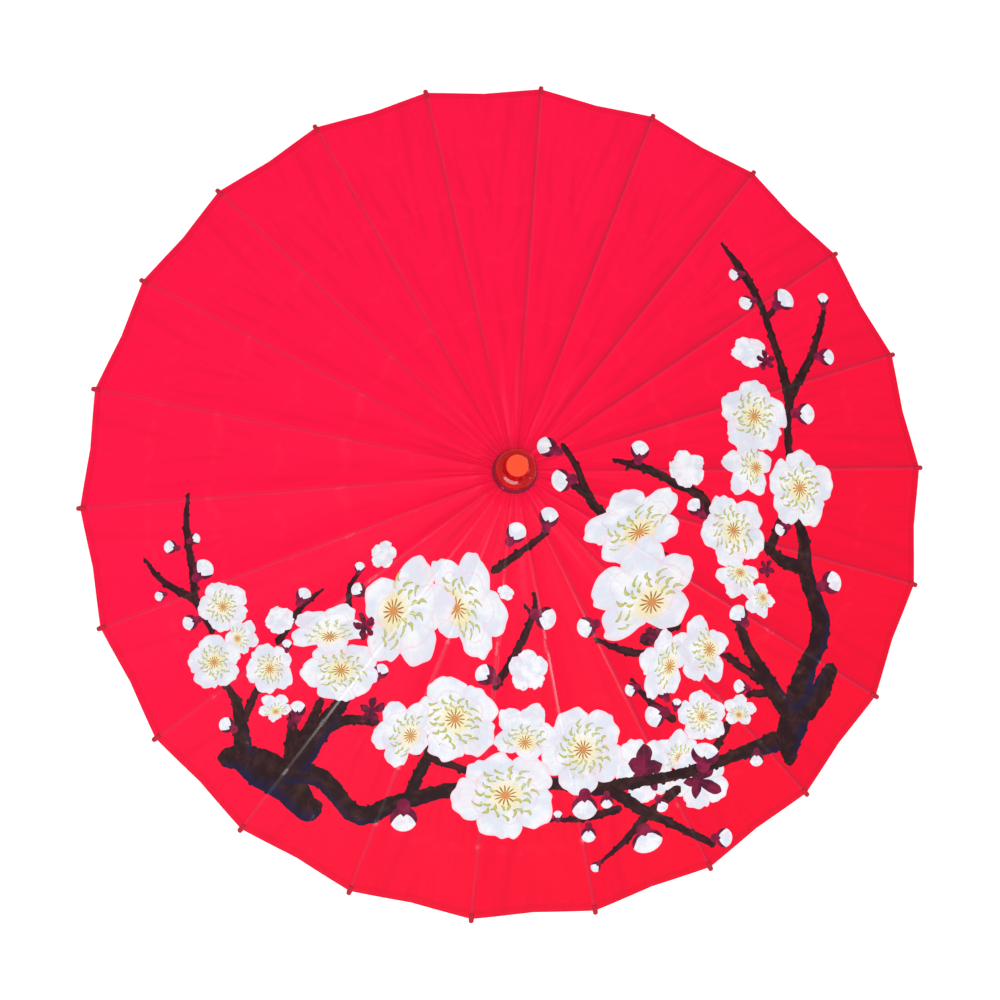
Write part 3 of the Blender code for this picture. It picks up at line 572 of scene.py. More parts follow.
def silk_height(along, beside):
    """The silk's height at a place measured along and beside the nearest rib."""
    radius, angle = np.hypot(along, beside), np.abs(np.arctan2(beside, along))
    flat = radius * np.cos(HALF_STEP - angle) / math.cos(HALF_STEP)
    half = np.maximum(along * math.tan(HALF_STEP), 1e-6)
    share = np.clip((np.abs(beside) - STRIP_HALF) / np.maximum(half - STRIP_HALF, 1e-6), 0, 1)
    down = np.clip((radius - COLLAR_EDGE) / (SILK_RIM - COLLAR_EDGE), 0, 1)
    sag = SAG * np.sin(math.pi * DEEPEST * down) ** 0.8 * (1 - (1 - share) ** 2)
    pleats = np.cos(angle * RIBS * PLEATS_PER_RIB) * np.exp(-np.abs(radius - CROWN_EDGE) / PLEAT_REACH)
    return rib_line(flat) - sag + PLEAT_DEPTH * pleats


midway = 0.3 * np.array([math.cos(HALF_STEP), math.sin(HALF_STEP)])
print("30 cm out, between two ribs:", round(float(silk_height(*midway)) / MM, 1), "mm high")

# %% [markdown]
# ## Cutting the silk
#
# The canopy folds, so its silk can't be one mesh: each rib carries the part that is nearer to it
# than to its neighbours, from mid-line to mid-line. On the rib's back lies a glued strip that
# keeps its width. On both sides hang the wings. Round the crown lies a short collar between the
# fixed hub and the moving rib.
#
# A patch is a grid of rows and columns. A column belongs to the strip or to a wing, and a share
# says where in it the column runs.

# %% The outline of a patch and its grid
RIM_SCALLOP = 2.2 * MM  # how far the rim draws in between two rib ends


def rim_along(beside):
    """Where the rim lies, a slightly hollow line from one rib's end to the next."""
    share = np.clip(np.abs(beside) / (SILK_RIM * math.sin(HALF_STEP)), 0, 1)
    return SILK_RIM - np.abs(beside) * math.tan(HALF_STEP) - RIM_SCALLOP * share ** 1.4


def sideways(part, share, along):
    """How far beside the rib a column runs."""
    wedge = along * math.tan(HALF_STEP)
    strip = np.minimum(STRIP_HALF, wedge)
    if part == "strip":
        return share * strip
    return math.copysign(1, share) * (strip + (wedge - strip) * abs(share))


def column_end(part, share):
    """Where a column meets the rim; three rounds are enough, as both lines are almost straight."""
    end = SILK_RIM
    for _ in range(3):
        end = float(rim_along(sideways(part, share, end)))
    return end


def grid_of(start, stop, rows, columns):
    """Along and beside for each point of a patch that ends at a radius, or else at the rim."""
    ends = [stop or column_end(*column) for column in columns]
    along = np.stack([np.linspace(start, end, rows) for end in ends], 1)
    beside = [sideways(*column, distances) for column, distances in zip(columns, along.T)]
    return along, np.stack(beside, 1)


STRIP = [("strip", share) for share in (-1, -0.5, 0, 0.5, 1)]
WING_STEPS = 11
WING = [("wing", step / WING_STEPS) for step in range(1, WING_STEPS + 1)]
LEFT = [(part, -share) for part, share in reversed(WING)] + [STRIP[0]]
RIGHT = [STRIP[-1]] + WING
ACROSS = LEFT[:-1] + STRIP + WING
print("a patch has", len(ACROSS), "columns")

# %% [markdown]
# The marks are measured at the corners of each face. A flower's vector is the place inside the
# flower, in flower radii, and its kind. A branch's vector is the distance along it, the distance
# from its middle and its half width. Both change evenly over a face, so they stay exact although
# the mesh is much coarser than the print.

# %% Measure a flower and a branch
def flower_vectors(mark, points):
    """Each point in the flower's own frame, turned and in radii."""
    away = points - np.array(mark["place"])
    c, s = math.cos(mark["turn"]), math.sin(mark["turn"])
    u = (away[:, 0] * c + away[:, 1] * s) / mark["size"].x
    v = (away[:, 1] * c - away[:, 0] * s) / mark["size"].y
    return np.stack([u, v, np.full(len(u), mark["code"])], 1)


def branch_vectors(route, points):
    """Each point as the way along the branch, the signed distance beside it, and half width."""
    starts, steps = route[:-1], route[1:] - route[:-1]
    lengths = np.linalg.norm(steps[:, :2], axis=1)
    gone = np.concatenate([[0], np.cumsum(lengths)[:-1]])
    away = points[:, None, :] - starts[None, :, :2]
    share = np.clip((away * steps[None, :, :2]).sum(2) / lengths**2, 0, 1)
    distance = np.linalg.norm(away - share[:, :, None] * steps[None, :, :2], axis=2)
    near = distance.argmin(1)
    pick = (np.arange(len(points)), near)
    ahead = steps[near, :2] / lengths[near, None]
    beside = ahead[:, 0] * away[pick][:, 1] - ahead[:, 1] * away[pick][:, 0]
    gone_on = (away[pick] * ahead).sum(1)
    width = starts[near, 2] + share[pick] * steps[near, 2]
    # past an end the branch narrows to a round tip; elsewhere the nearest distance counts
    before = np.where(near == 0, -gone_on, 0)
    after = np.where(near == len(steps) - 1, gone_on - lengths[near], 0)
    past = (before + after).clip(0)
    off = np.where(past > 0, beside, np.copysign(distance[pick], beside))
    along = gone[near] + share[pick] * lengths[near]
    return np.stack([along, off, width - past**2 / width], 1) / MM


print("the longest branch has", max(len(route) for route in ROUTES), "points")

# %% [markdown]
# Most faces of a patch meet only a few marks. Where a screen has nothing to draw, its vector says
# that the point is far from everything.

# %% Mark the faces of a patch, screen by screen
FAR_FLOWER, FAR_BRANCH = (9.0, 9.0, 0.0), (0.0, 99.0, 0.1)
BRANCH_REACH = 30 * MM  # no branch stands out further than this from its middle


def mark_faces(plan, faces):
    """For each screen, the vectors at the faces' corners."""
    corners = faces.size
    screens = {f"flowers_{screen}": np.tile(FAR_FLOWER, (corners, 1)) for screen in range(FLOWER_SCREENS)}
    for screen in range(BRANCH_SCREENS):
        screens[f"branches_{screen}"] = np.tile(FAR_BRANCH, (corners, 1))
    low, high = plan.min(0), plan.max(0)
    for mark, screen in zip(FLOWER_MARKS, FLOWER_LAYERS):
        place, reach = np.array(mark["place"]), FLOWER_REACH * mark["reach"]
        if (place + reach < low).any() or (place - reach > high).any():
            continue
        found = flower_vectors(mark, plan)
        near = (np.hypot(found[:, 0], found[:, 1]) < FLOWER_REACH)[faces].any(1)
        screens[f"flowers_{screen}"].reshape(-1, 4, 3)[near] = found[faces[near]]
    for route, screen in zip(ROUTES, BRANCH_LAYERS):
        west_south, east_north = route[:, :2].min(0), route[:, :2].max(0)
        if (east_north + BRANCH_REACH < low).any() or (west_south - BRANCH_REACH > high).any():
            continue
        found = branch_vectors(route, plan)
        near = (np.abs(found[:, 1]) < found[:, 2] + BRANCH_MARGIN)[faces].any(1)
        screens[f"branches_{screen}"].reshape(-1, 4, 3)[near] = found[faces[near]]
    return screens


print("a patch is marked on", FLOWER_SCREENS + BRANCH_SCREENS, "screens")

# %% [markdown]
# Now the patch itself: an upper and a lower face of quads, joined by narrow edges. The normals
# come from the height formula and not from the faces, so that light runs over the joins between
# the patches as over one sheet.

# %% Faces and normals of a patch
NORMAL_STEP = 0.2 * MM


def rib_frame(number):
    angle = rib_azimuth(number)
    return np.array([[math.cos(angle), -math.sin(angle)], [math.sin(angle), math.cos(angle)]])


def silk_normals(along, beside, turn):
    step = NORMAL_STEP
    rise = (silk_height(along + step, beside) - silk_height(along - step, beside)) / (2 * step)
    tilt = (silk_height(along, beside + step) - silk_height(along, beside - step)) / (2 * step)
    normal = np.stack([-rise, -tilt, np.ones_like(rise)], 1)
    normal /= np.linalg.norm(normal, axis=1)[:, None]
    normal[:, :2] = normal[:, :2] @ turn.T
    return normal


def patch_faces(rows, wide):
    """Quads of the upper face, of the lower face, and of the thin edge round both."""
    quads = np.array([
        (r * wide + c, (r + 1) * wide + c, (r + 1) * wide + c + 1, r * wide + c + 1)
        for r in range(rows - 1) for c in range(wide - 1)
    ])
    below = rows * wide
    border = list(range(wide)) + [r * wide + wide - 1 for r in range(1, rows)]
    border += [(rows - 1) * wide + c for c in range(wide - 2, -1, -1)]
    border += [r * wide for r in range(rows - 2, 0, -1)]
    edges = np.array([(a, b, b + below, a + below) for a, b in zip(border, border[1:] + border[:1])])
    return quads, quads[:, ::-1] + below, edges


print("a patch of 80 rows across a wing has", sum(map(len, patch_faces(80, len(LEFT)))), "quads")

# %% [markdown]
# Besides the marks, each corner carries its place on the cloth: how far beside the rib it lies,
# how far out, and how far from the hem. The upper face takes the printed silk, the lower one the
# plain back of it.

# %% Build one patch of silk
def silk_patch(name, number, start, stop, rows, columns, paints):
    """A thin sheet between two radii, with the print's marks and the formula's normals."""
    along, beside = (values.ravel() for values in grid_of(start, stop, rows, columns))
    turn = rib_frame(number)
    plan = np.stack([along, beside], 1) @ turn.T
    upper = np.column_stack([plan, silk_height(along, beside)])
    normals = silk_normals(along, beside, turn)
    lower = upper - normals * SILK_THICKNESS
    above, below, edges = patch_faces(rows, len(columns))
    faces = np.vstack([above, below, edges])
    mesh = bpy.data.meshes.new(name)
    mesh.from_pydata(np.vstack([upper, lower]).tolist(), [], faces.tolist())

    fields = mark_faces(np.concatenate([plan, plan]), faces)
    cloth = np.stack([beside / MM, along / MM, (rim_along(beside) - along) / MM], 1)
    fields["cloth"] = np.concatenate([cloth, cloth])[faces.ravel()]
    for field, values in fields.items():
        layer = mesh.attributes.new(field, "FLOAT_VECTOR", "CORNER")
        layer.data.foreach_set("vector", values.astype(np.float32).ravel())

    corner_normals = np.concatenate([normals, -normals])[faces.ravel()]
    outward = np.cross(upper[edges[:, 1]] - upper[edges[:, 0]], [0, 0, 1.0])
    outward /= np.maximum(np.linalg.norm(outward, axis=1), 1e-9)[:, None]
    corner_normals[-4 * len(edges):] = np.repeat(outward, 4, axis=0)
    mesh.polygons.foreach_set("use_smooth", [True] * len(faces))
    mesh.normals_split_custom_set(corner_normals.tolist())
    for paint in paints:
        mesh.materials.append(paint)
    is_lower = [0] * len(above) + [1] * len(below) + [0] * len(edges)
    mesh.polygons.foreach_set("material_index", is_lower)
    return put(name, mesh)


print("a patch is", round(SILK_THICKNESS / MM, 2), "mm thick")

# %% [markdown]
# ## The printed silk
#
# The print works in three steps. First the branches: on each screen a point is on a branch where
# its distance from the middle is less than the half width, roughened a little. Then the flowers:
# on each screen a point is in a flower where it lies inside a lobed outline. Last, the chosen
# vector is shaded once, with petals, veins, stamens and a warm heart. The silk below stays
# crimson, with a fine weave and a darker hem, and it carries painted light: a little more magenta
# at one side, painted light and shade by the crown, and painted shade beside the ribs.
#
# A printer mixes the inks first, and so does this cell.

# %% The print's inks
# the first colour below is the pinker, lit end of a painted light across the canopy; the second is the
# silk's own red
SILK_LIT_PINK, SILK_RED = (0.98, 0.003, 0.055), (0.88, 0.002, 0.028)
# the second colour below is the hem's own darker red, also used for the dye's streaks and as painted
# shade
GLUE_LINE, HEM_AND_SHADE_RED = (0.66, 0.001, 0.050), (0.60, 0.002, 0.028)
# the first colour below is a painted highlight on the silk, the second a painted shade
SILK_PAINTED_LIGHT, SILK_SHADE = (1.0, 0.045, 0.13), (0.42, 0.001, 0.045)
BARK_DARK, BARK_BROWN = (0.022, 0.007, 0.010), (0.055, 0.017, 0.015)
BARK_NAVY, BARK_TAN = (0.010, 0.010, 0.050), (0.24, 0.13, 0.06)
SEPAL_DARK, SEPAL_RED = (0.085, 0.006, 0.025), (0.30, 0.012, 0.065)
PETAL_WHITE, PETAL_BLUE = (0.85, 0.86, 0.89), (0.69, 0.73, 0.82)
PETAL_PINK, PETAL_EDGE = (0.80, 0.58, 0.66), (0.88, 0.62, 0.71)
ANTHER, ANTHER_DARK, FILAMENT = (0.50, 0.50, 0.07), (0.26, 0.25, 0.03), (0.86, 0.80, 0.46)
HEART_BROWN, HEART_ORANGE, HEART_YELLOW = (0.20, 0.045, 0.02), (0.64, 0.19, 0.03), (0.93, 0.72, 0.28)
# painted light: a lighter red for the lower face, for light that shines through the silk
LINING_LIT_RED = (1.0, 0.05, 0.12)
print("the inks are mixed")

# %% [markdown]
# Old plum bark is rough and knotted, and short spurs stand out from its twigs. Slow noise moves
# the edge in and out, and a second noise, read along each side of the branch, sets the spurs.
# The bark is nearly black, with brown strokes along it, a navy shade on one side of the trunks
# and a reddish tone on young twigs.

# %% Draw the branches
def paint_branches(paint, cloth):
    """The bark's colour, and whether a point lies on a branch."""
    rough = paint.grain(cloth, 0.11, 1.5)
    chosen, inside_any = None, None
    for screen in range(BRANCH_SCREENS):
        vector = paint.carried(f"branches_{screen}")
        gone, off, width = vector.parts()
        side = paint.vector(gone * 0.17, off.math("SIGN") * 4.0, 0.0)
        spurs = paint.grain(side, 1.0, 0.0).fade(0.58, 0.68) * 1.3
        edge = width + (rough - 0.5) * width.math("MINIMUM", 4.0) + spurs * (width > 0.5)
        inside = off.math("ABSOLUTE") < edge
        if chosen is None:
            chosen, inside_any = vector, inside
        else:
            chosen = paint.choose(inside, chosen, vector)
            inside_any = inside_any.math("MAXIMUM", inside)
    gone, off, width = chosen.parts()
    across = off / width
    bark = paint.grain(paint.vector(gone * 0.10, across * 1.3, width), 0.7, 3.0, 0.55)
    colour = paint.mix(bark.fade(0.40, 0.70), BARK_DARK, BARK_BROWN)
    shaded = (0.0 - across + (bark - 0.5) * 1.4).fade(0.0, 1.1)
    colour = paint.mix(shaded * width.fade(5.0, 11.0) * 0.9, colour, BARK_NAVY)
    colour = paint.mix(bark.fade(0.66, 0.80) * width.fade(3.0, 7.0) * 0.5, colour, BARK_TAN)
    twig = 1 - width.fade(2.0, 4.6)
    return paint.mix(twig * bark.fade(0.3, 0.6) * 0.6, colour, SEPAL_DARK), inside_any


print("a branch is drawn from", BRANCH_SCREENS, "screens")

# %% [markdown]
# Every flower's outline is a radius that changes with the angle. Five petals make five lobes,
# rounder on an open flower and pointed on one that is seen from the side. A bud is a ball on a
# stalk, and a lone calyx is a ragged star. The outline's depth, the distance to its edge, says
# whether a point is inside, and later it also draws the petals' fine edge.

# %% Choose the flower at a point
PETALS = 5
OWN_SHIFT, OWN_TURN = 9.0, 40.0  # a mark's chance number moves its noise and turns its petals


def polar(u, v):
    """Length and angle of a point in a flower."""
    return (u * u + v * v) ** 0.5, v.math("ARCTAN2", u)


def petal_lobes(angle, shift):
    """0 between two petals and 1 in a petal's middle, once for each petal."""
    return (angle * (PETALS / 2) + shift).math("COSINE").math("ABSOLUTE")


def is_kind(code, kind):
    """1 where a mark is of this kind."""
    return (code > kind) * (code < kind + 1)


def outline_depth(paint, vector):
    """How far a point lies inside the outline of its mark, in flower radii."""
    u, v, code = vector.parts()
    radius, angle = polar(u, v)
    ruffle = paint.grain(paint.vector(u, v, code * OWN_SHIFT), 1.7, 1.0)
    lobes = petal_lobes(angle, code * OWN_TURN)
    rounded, pointed = lobes ** 0.55 * 0.20 + 0.76, lobes * 0.30 + 0.66
    frill = (angle * 15.0 + ruffle * 14.0).math("SINE") * 0.018
    reach = rounded + is_kind(code, SIDEWAYS) * (pointed - rounded)
    petal = reach + (ruffle - 0.5) * 0.34 + frill - radius
    ball = 0.60 - polar(u - 0.3, v)[0]
    behind = (u + 0.42).math("MINIMUM", 0.0)
    stalk = (0.32 + u * 0.10 - polar(behind, v)[0]).math("MINIMUM", 0.3 - u)
    bud = ball.math("MAXIMUM", stalk)
    ragged = lobes * 0.55 + 0.35 + (ruffle - 0.5) * 0.8 - radius
    bud = bud + (code > CALYX) * (ragged - bud)
    return bud + (code < BUD) * (petal - bud)


def choose_flower(paint):
    """The vector of the uppermost flower at a point, whether there is one, and its depth."""
    chosen, inside_any, depth = None, None, None
    for screen in range(FLOWER_SCREENS):
        vector = paint.carried(f"flowers_{screen}")
        within = outline_depth(paint, vector)
        inside = within > 0.0
        if chosen is None:
            chosen, inside_any, depth = vector, inside, within
        else:
            chosen = paint.choose(inside, chosen, vector)
            depth = depth + inside * (within - depth)
            inside_any = inside_any.math("MAXIMUM", inside)
    return chosen, inside_any, depth


print("a flower is chosen from", FLOWER_SCREENS, "screens")

# %% [markdown]
# A plum petal is white with a cool shade where it curls, a pink fold where it meets its
# neighbour, an inner crease and faint veins. Open petals overlap all one way round, which a
# tangent of the angle gives: it jumps at each petal's edge and fades away from it.

# %% Petals
def paint_petals(paint, vector, own, cloud, depth):
    u, v, code = vector.parts()
    radius, angle = polar(u, v)
    is_open = code < BEHIND
    colour = paint.mix(cloud.fade(0.38, 0.62), PETAL_BLUE, PETAL_WHITE)
    lobes = petal_lobes(angle, code * OWN_TURN)
    fold = 1 - (lobes * radius + (cloud - 0.5) * 0.25).fade(0.02, 0.14)
    colour = paint.mix(fold * radius.fade(0.3, 0.6) * 0.6, colour, PETAL_PINK)
    half_turns = angle * (PETALS / 2) + code * OWN_TURN
    overlap = (half_turns + (cloud - 0.5) * 2.0).math("TANGENT").fade(1.2, 9.0)
    colour = paint.mix(overlap * radius.fade(0.2, 0.5) * is_open * 0.75, colour, PETAL_BLUE)
    blush = paint.grain(own, 1.3, 2.0).fade(0.50, 0.70)
    colour = paint.mix(blush * 0.28, colour, PETAL_PINK)
    inner = radius - (petal_lobes(angle, 1.2) * 0.12 + 0.50 + (cloud - 0.5) * 0.3)
    crease = 1 - inner.math("ABSOLUTE").fade(0.005, 0.03)
    colour = paint.mix(crease * is_open * 0.5, colour, PETAL_PINK)
    shade = inner.fade(0.0, 0.14) * (1 - inner.fade(0.14, 0.3))
    colour = paint.mix(shade * is_open * 0.35, colour, PETAL_BLUE)
    veins = (angle * 34.0 + cloud * 9.0).math("SINE").fade(0.55, 1.0)
    colour = paint.mix(veins * radius.fade(0.25, 0.5) * 0.16, colour, PETAL_PINK)
    return paint.mix((1 - depth.fade(0.015, 0.06)) * 0.8, colour, PETAL_EDGE)


print("a flower has", PETALS, "petals")

# %% [markdown]
# The heart of the blossom is a yellow glow with an orange burst in it. Round it stand two rings
# of anthers on fine threads. The circle is cut into sectors, each sector gets one anther, and
# white noise on the sector's number sets it nearer or farther and tilts it. On a flower seen
# from the side the heart lies off the middle and the stamens fan out one way.

# %% Heart and stamens
ANTHER_LENGTH, ANTHER_WIDTH = 0.085, 0.034  # in flower radii
ANTHER_RINGS = ((14, 0.26, 0.20), (15, 0.42, 0.18))  # how many, from where, and how far spread


def ring_marks(paint, angle, radius, code, count, near, spread):
    """Anthers and threads: one of each in each of count sectors."""
    turn = angle * (count / math.tau) + code * 17.0
    sector = turn.math("FLOOR")
    chance = paint.add(
        "TexWhiteNoise", {"noise_dimensions": "1D"}, sector + code * 31.0, output="Value")
    away = radius - (chance * spread + near)
    across = (turn.math("FRACT") - 0.5) * (math.tau / count) * radius
    tilt = (chance * 97.0).math("FRACT") * 2.4 - 1.2
    curved = across + away * tilt + away * away * 8.0
    spot = (away / ANTHER_LENGTH) ** 2.0 + (curved / ANTHER_WIDTH) ** 2.0
    thread = (across.math("ABSOLUTE") < 0.010) * (away < 0.0) * (radius > 0.08)
    return spot, thread


def paint_heart(paint, colour, vector, cloud):
    u, v, code = vector.parts()
    is_open, is_side = code < BEHIND, is_kind(code, SIDEWAYS)
    reach, way = polar(u + is_side * 0.30, v)
    glow = (1 - (reach + (cloud - 0.5) * 0.3).fade(0.12, 0.40)) * is_open
    colour = paint.mix(glow * 0.8, colour, HEART_YELLOW)
    fan = 1 - is_side * (1 - way.math("COSINE").fade(-0.45, -0.15))
    for ring in ANTHER_RINGS:
        spot, thread = ring_marks(paint, way, reach, code, *ring)
        colour = paint.mix(thread * fan * is_open * 0.7, colour, FILAMENT)
        tint = paint.mix(spot.fade(0.3, 0.9), ANTHER, ANTHER_DARK)
        colour = paint.mix((spot < 1.0) * fan * is_open * 0.9, colour, tint)
    rays = (way * 6.5 + code * 50.0 + (cloud - 0.5) * 4.0).math("COSINE").math("ABSOLUTE")
    burst = (reach < rays ** 3.0 * 0.15 + 0.07) * is_open
    flame = paint.mix((reach + (cloud - 0.5) * 0.1).fade(0.03, 0.17), HEART_ORANGE, HEART_BROWN)
    return paint.mix(burst * 0.85, colour, flame)


print("a blossom has", sum(ring[0] for ring in ANTHER_RINGS), "anthers")

# %% [markdown]
# Sepals are the dark red leaves that held the bud. From behind a flower shows all five, as a
# star. Under a bud they form a cup with a stalk. A bare calyx is nothing but sepals.

# %% Sepals, and the whole flower
def paint_sepals(paint, colour, vector, own, cloud):
    u, v, code = vector.parts()
    radius, angle = polar(u, v)
    is_behind, is_bud = is_kind(code, BEHIND), is_kind(code, BUD)
    leaf_turn = (angle * (PETALS / math.tau) + code * 17.0).math("FRACT") - 0.5
    beside_leaf = (leaf_turn * radius).math("ABSOLUTE") * (math.tau / PETALS)
    uneven = paint.grain(own, 1.1, 1.0)
    leaves = beside_leaf < radius * (uneven * 0.9 + 0.22 - radius) * (cloud + 1.3)
    leaves = leaves.math("MAXIMUM", radius < 0.17)
    spike = (0.16 - v.math("ABSOLUTE") * 1.3).math("MAXIMUM", 0.0)
    cup = u < v * v * 1.6 + spike + (code - BUD) * 0.26 - 0.13 + (cloud - 0.5) * 0.2
    sepal = leaves * is_behind + cup * is_bud + (code > CALYX)
    leaf_vein = (1 - beside_leaf.fade(0.0, 0.05)) * is_behind * 0.5
    cup_light = (0.05 - u).fade(0.0, 0.3) * is_bud * 0.8
    red_share = cloud.fade(0.42, 0.6) * 0.5 + (leaf_vein + cup_light) * 0.5
    return paint.mix(sepal, colour, paint.mix(red_share, SEPAL_DARK, SEPAL_RED))


def paint_flower(paint, vector, depth):
    """The colour of whatever mark the vector belongs to."""
    u, v, code = vector.parts()
    own = paint.vector(u, v, code * OWN_SHIFT)
    cloud = paint.grain(own, 2.2, 3.0)
    colour = paint_petals(paint, vector, own, cloud, depth)
    colour = paint_heart(paint, colour, vector, cloud)
    return paint_sepals(paint, colour, vector, own, cloud)


print("inks and drawing rules are set")

# %% [markdown]
# Under the print lies the dye, and on it painted light and shade. A painted light makes the
# cloth pinker towards the north-west and redder towards the south-east. Streaks run outwards in
# the dye, and by the crown light and dark rays are painted over the pleats. Over a rib the glue
# shows as a dark line. Beside each rib, mostly in the east, a painted shade marks where the silk
# is dented, and a painted shadow lies on one side of it. The hem is a double layer and darker.

# %% The dye, with painted light and shade
def dyed_and_shaded_silk(paint, cloth):
    """The colour before printing with its painted light and shade, the streaks, and where the hem and the
    outer silk are.
    """
    beside, along, hem = cloth.parts()
    east, north, _ = paint.place().parts()
    # painted light: pinker and lighter towards the north-west, redder towards the south-east
    colour = paint.mix((east * 0.9 - north * 1.1 + 0.35).fade(0.0, 0.9), SILK_LIT_PINK, SILK_RED)
    streaks = paint.grain(paint.stretched(cloth, 0.11, 0.012, 0.0), 1.0, 3.0)
    colour = paint.mix(streaks.fade(0.42, 0.75) * 0.28, colour, HEM_AND_SHADE_RED)
    way_round = north.math("ARCTAN2", east)
    # painted light and shade: light and dark rays by the crown, over the silk's pleats
    gathers_light_and_shade = paint.grain(paint.vector(way_round * 13.0, along * 0.006, 0.0), 1.0, 3.0)
    by_crown = 1 - along.fade(25.0, 150.0)
    colour = paint.mix(gathers_light_and_shade.fade(0.50, 0.68) * by_crown * 0.5, colour, HEM_AND_SHADE_RED)
    colour = paint.mix((1 - gathers_light_and_shade.fade(0.30, 0.46)) * by_crown * 0.4, colour, SILK_PAINTED_LIGHT)
    outward = along.fade(30.0, 170.0)
    on_rib = 1 - beside.math("ABSOLUTE").fade(0.5, 1.5)
    colour = paint.mix(on_rib * outward * 0.55, colour, GLUE_LINE)
    # painted shade: a dark line beside each rib where the silk is dented, stronger in the east
    eastern = (way_round - 0.35).math("COSINE").fade(-0.6, 0.9) * outward
    dent_shade = 1 - (beside - 1.1).math("ABSOLUTE").fade(0.2, 1.9)
    colour = paint.mix(dent_shade * (eastern * 0.45 + 0.12) * (streaks * 0.8 + 0.5), colour, SILK_SHADE)
    # painted shadow on one side of each rib
    shadow = (1 - beside.fade(0.0, 14.0)) * (beside > 0.0) * eastern
    colour = paint.mix(shadow * 0.3, colour, HEM_AND_SHADE_RED)
    hem_band = 1 - hem.fade(7.0, 8.2)
    return paint.mix(hem_band * 0.25, colour, HEM_AND_SHADE_RED), streaks, hem_band, outward


print("the dye is mixed")

# %% [markdown]
# The silk itself is a satin: a tight weave with soft creases that run outwards. The weave is two
# crossed waves, a thread every 0.7 mm, as a bump far finer than a millimetre. The gloss is low,
# because a strong one would wash the dye out under a white room. Only the ridge over each rib is
# rubbed smooth, and there the three small lamps draw their gleam.

# %% The silk's upper and lower face
THREAD = 0.7  # mm


def silk_paint(name, printed):
    paint = Paint(name, Specular_IOR_Level=0.10, Coat_Roughness=0.18, Coat_IOR=1.4)
    cloth = paint.carried("cloth")
    beside, along, _ = cloth.parts()
    colour, streaks, hem_band, outward = dyed_and_shaded_silk(paint, cloth)
    if printed:
        bark, on_branch = paint_branches(paint, cloth)
        colour = paint.mix(on_branch, colour, bark)
        chosen, inside, depth = choose_flower(paint)
        hidden = on_branch * is_kind(chosen.parts()[2], BEHIND)
        colour = paint.mix(inside * (1 - hidden), colour, paint_flower(paint, chosen, depth))
    else:
        # painted light: the lower face is mixed towards a lighter red, as if lit through the silk
        colour = paint.mix(0.25, colour, LINING_LIT_RED)
    warp, weft = ((way * (math.tau / THREAD)).math("SINE") for way in (beside, along))
    soft = paint.grain(paint.stretched(cloth, 0.05, 0.008, 0.0), 1.0, 4.0)
    ridge = 1 - beside.math("ABSOLUTE").fade(0.0, 3.2)
    relief = warp * weft * 0.02 + soft * 0.9 + ridge * 0.45 + hem_band * 0.35
    return paint.done(
        Base_Color=colour, Roughness=0.40 + streaks * 0.16 - ridge * 0.22,
        Coat_Weight=ridge * outward * 0.6, Normal=paint.bumped(relief, MM))


printed_silk, silk_lining = silk_paint("printed_silk", True), silk_paint("silk_lining", False)
print(len(printed_silk.node_tree.nodes), "nodes draw the printed silk")

# %% [markdown]
# ## Dressing the ribs
#
# Each rib gets a strip, a pair of wings and a collar. The strip rides on the rib, and the wings
# ride on it too, each with a mesh of its own; the real silk is gathered into pleats beside a rib
# as it folds. The collar keeps its place between the hub and the rib. Each wing is cut as a long
# triangle without its narrow end.

# %% Lay the silk over all ribs
LONG_ROWS, COLLAR_ROWS = 80, 8
SILK_PAINTS = (printed_silk, silk_lining)


def dress_rib(number):
    body = f"rib_{number:02d}"
    strip = silk_patch(
        f"silk_strip_{number:02d}", number, COLLAR_EDGE, None, LONG_ROWS, STRIP, SILK_PAINTS)
    collar = silk_patch(
        f"silk_collar_{number:02d}", number, CROWN_EDGE, COLLAR_EDGE, COLLAR_ROWS, ACROSS, SILK_PAINTS)
    wings = [
        silk_patch(
            f"silk_wing_{number:02d}_{side}", number, COLLAR_EDGE, None, LONG_ROWS, columns, SILK_PAINTS)
        for side, columns in (("left", LEFT), ("right", RIGHT))
    ]
    for piece in (strip, *wings):
        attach(piece, body)
    for wing in wings:
        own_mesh(wing)
    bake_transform(collar)
    return [strip, collar, *wings]


silk_pieces = [piece for number in range(1, RIBS + 1) for piece in dress_rib(number)]

# %% [markdown]
# Under the knob the collars end at a small fixed disc of silk. With it the sewn canopy is
# complete, and all its pieces together take the plain canopy's place.

# %% Close the silk at the crown
DISC_INNER, DISC_STEPS = 8 * MM, RIBS * 4
crown_disc = bmesh.new()
rings = []
for radius, drop in ((DISC_INNER, SILK_THICKNESS), (CROWN_EDGE, 0)):
    height = float(silk_height(radius, 0.0)) - drop
    angles = [rib_azimuth(1) + math.tau * step / DISC_STEPS for step in range(DISC_STEPS)]
    rings.append([
        crown_disc.verts.new((radius * math.cos(angle), radius * math.sin(angle), height))
        for angle in angles
    ])
for step in range(DISC_STEPS):
    after = (step + 1) % DISC_STEPS
    crown_disc.faces.new((rings[0][step], rings[1][step], rings[1][after], rings[0][after]))
disc_mesh = bpy.data.meshes.new("silk_crown")
crown_disc.to_mesh(disc_mesh)
disc_mesh.materials.append(silk_lining)
crown = put("silk_crown", disc_mesh)
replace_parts(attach(crown, "root"), "canopy")
for piece in silk_pieces:
    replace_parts(piece, "canopy")
print("the crown's disc has", len(disc_mesh.polygons), "faces")

# %% [markdown]
# ## The rib ends
#
# At the rim the silk is drawn over each rib's end and bound with thread, which leaves a small
# crimson nub that stands out past the hem. It is a short, rounded sleeve: a skin through a few
# soft squares along the rib. The same helper later turns the crown knob.

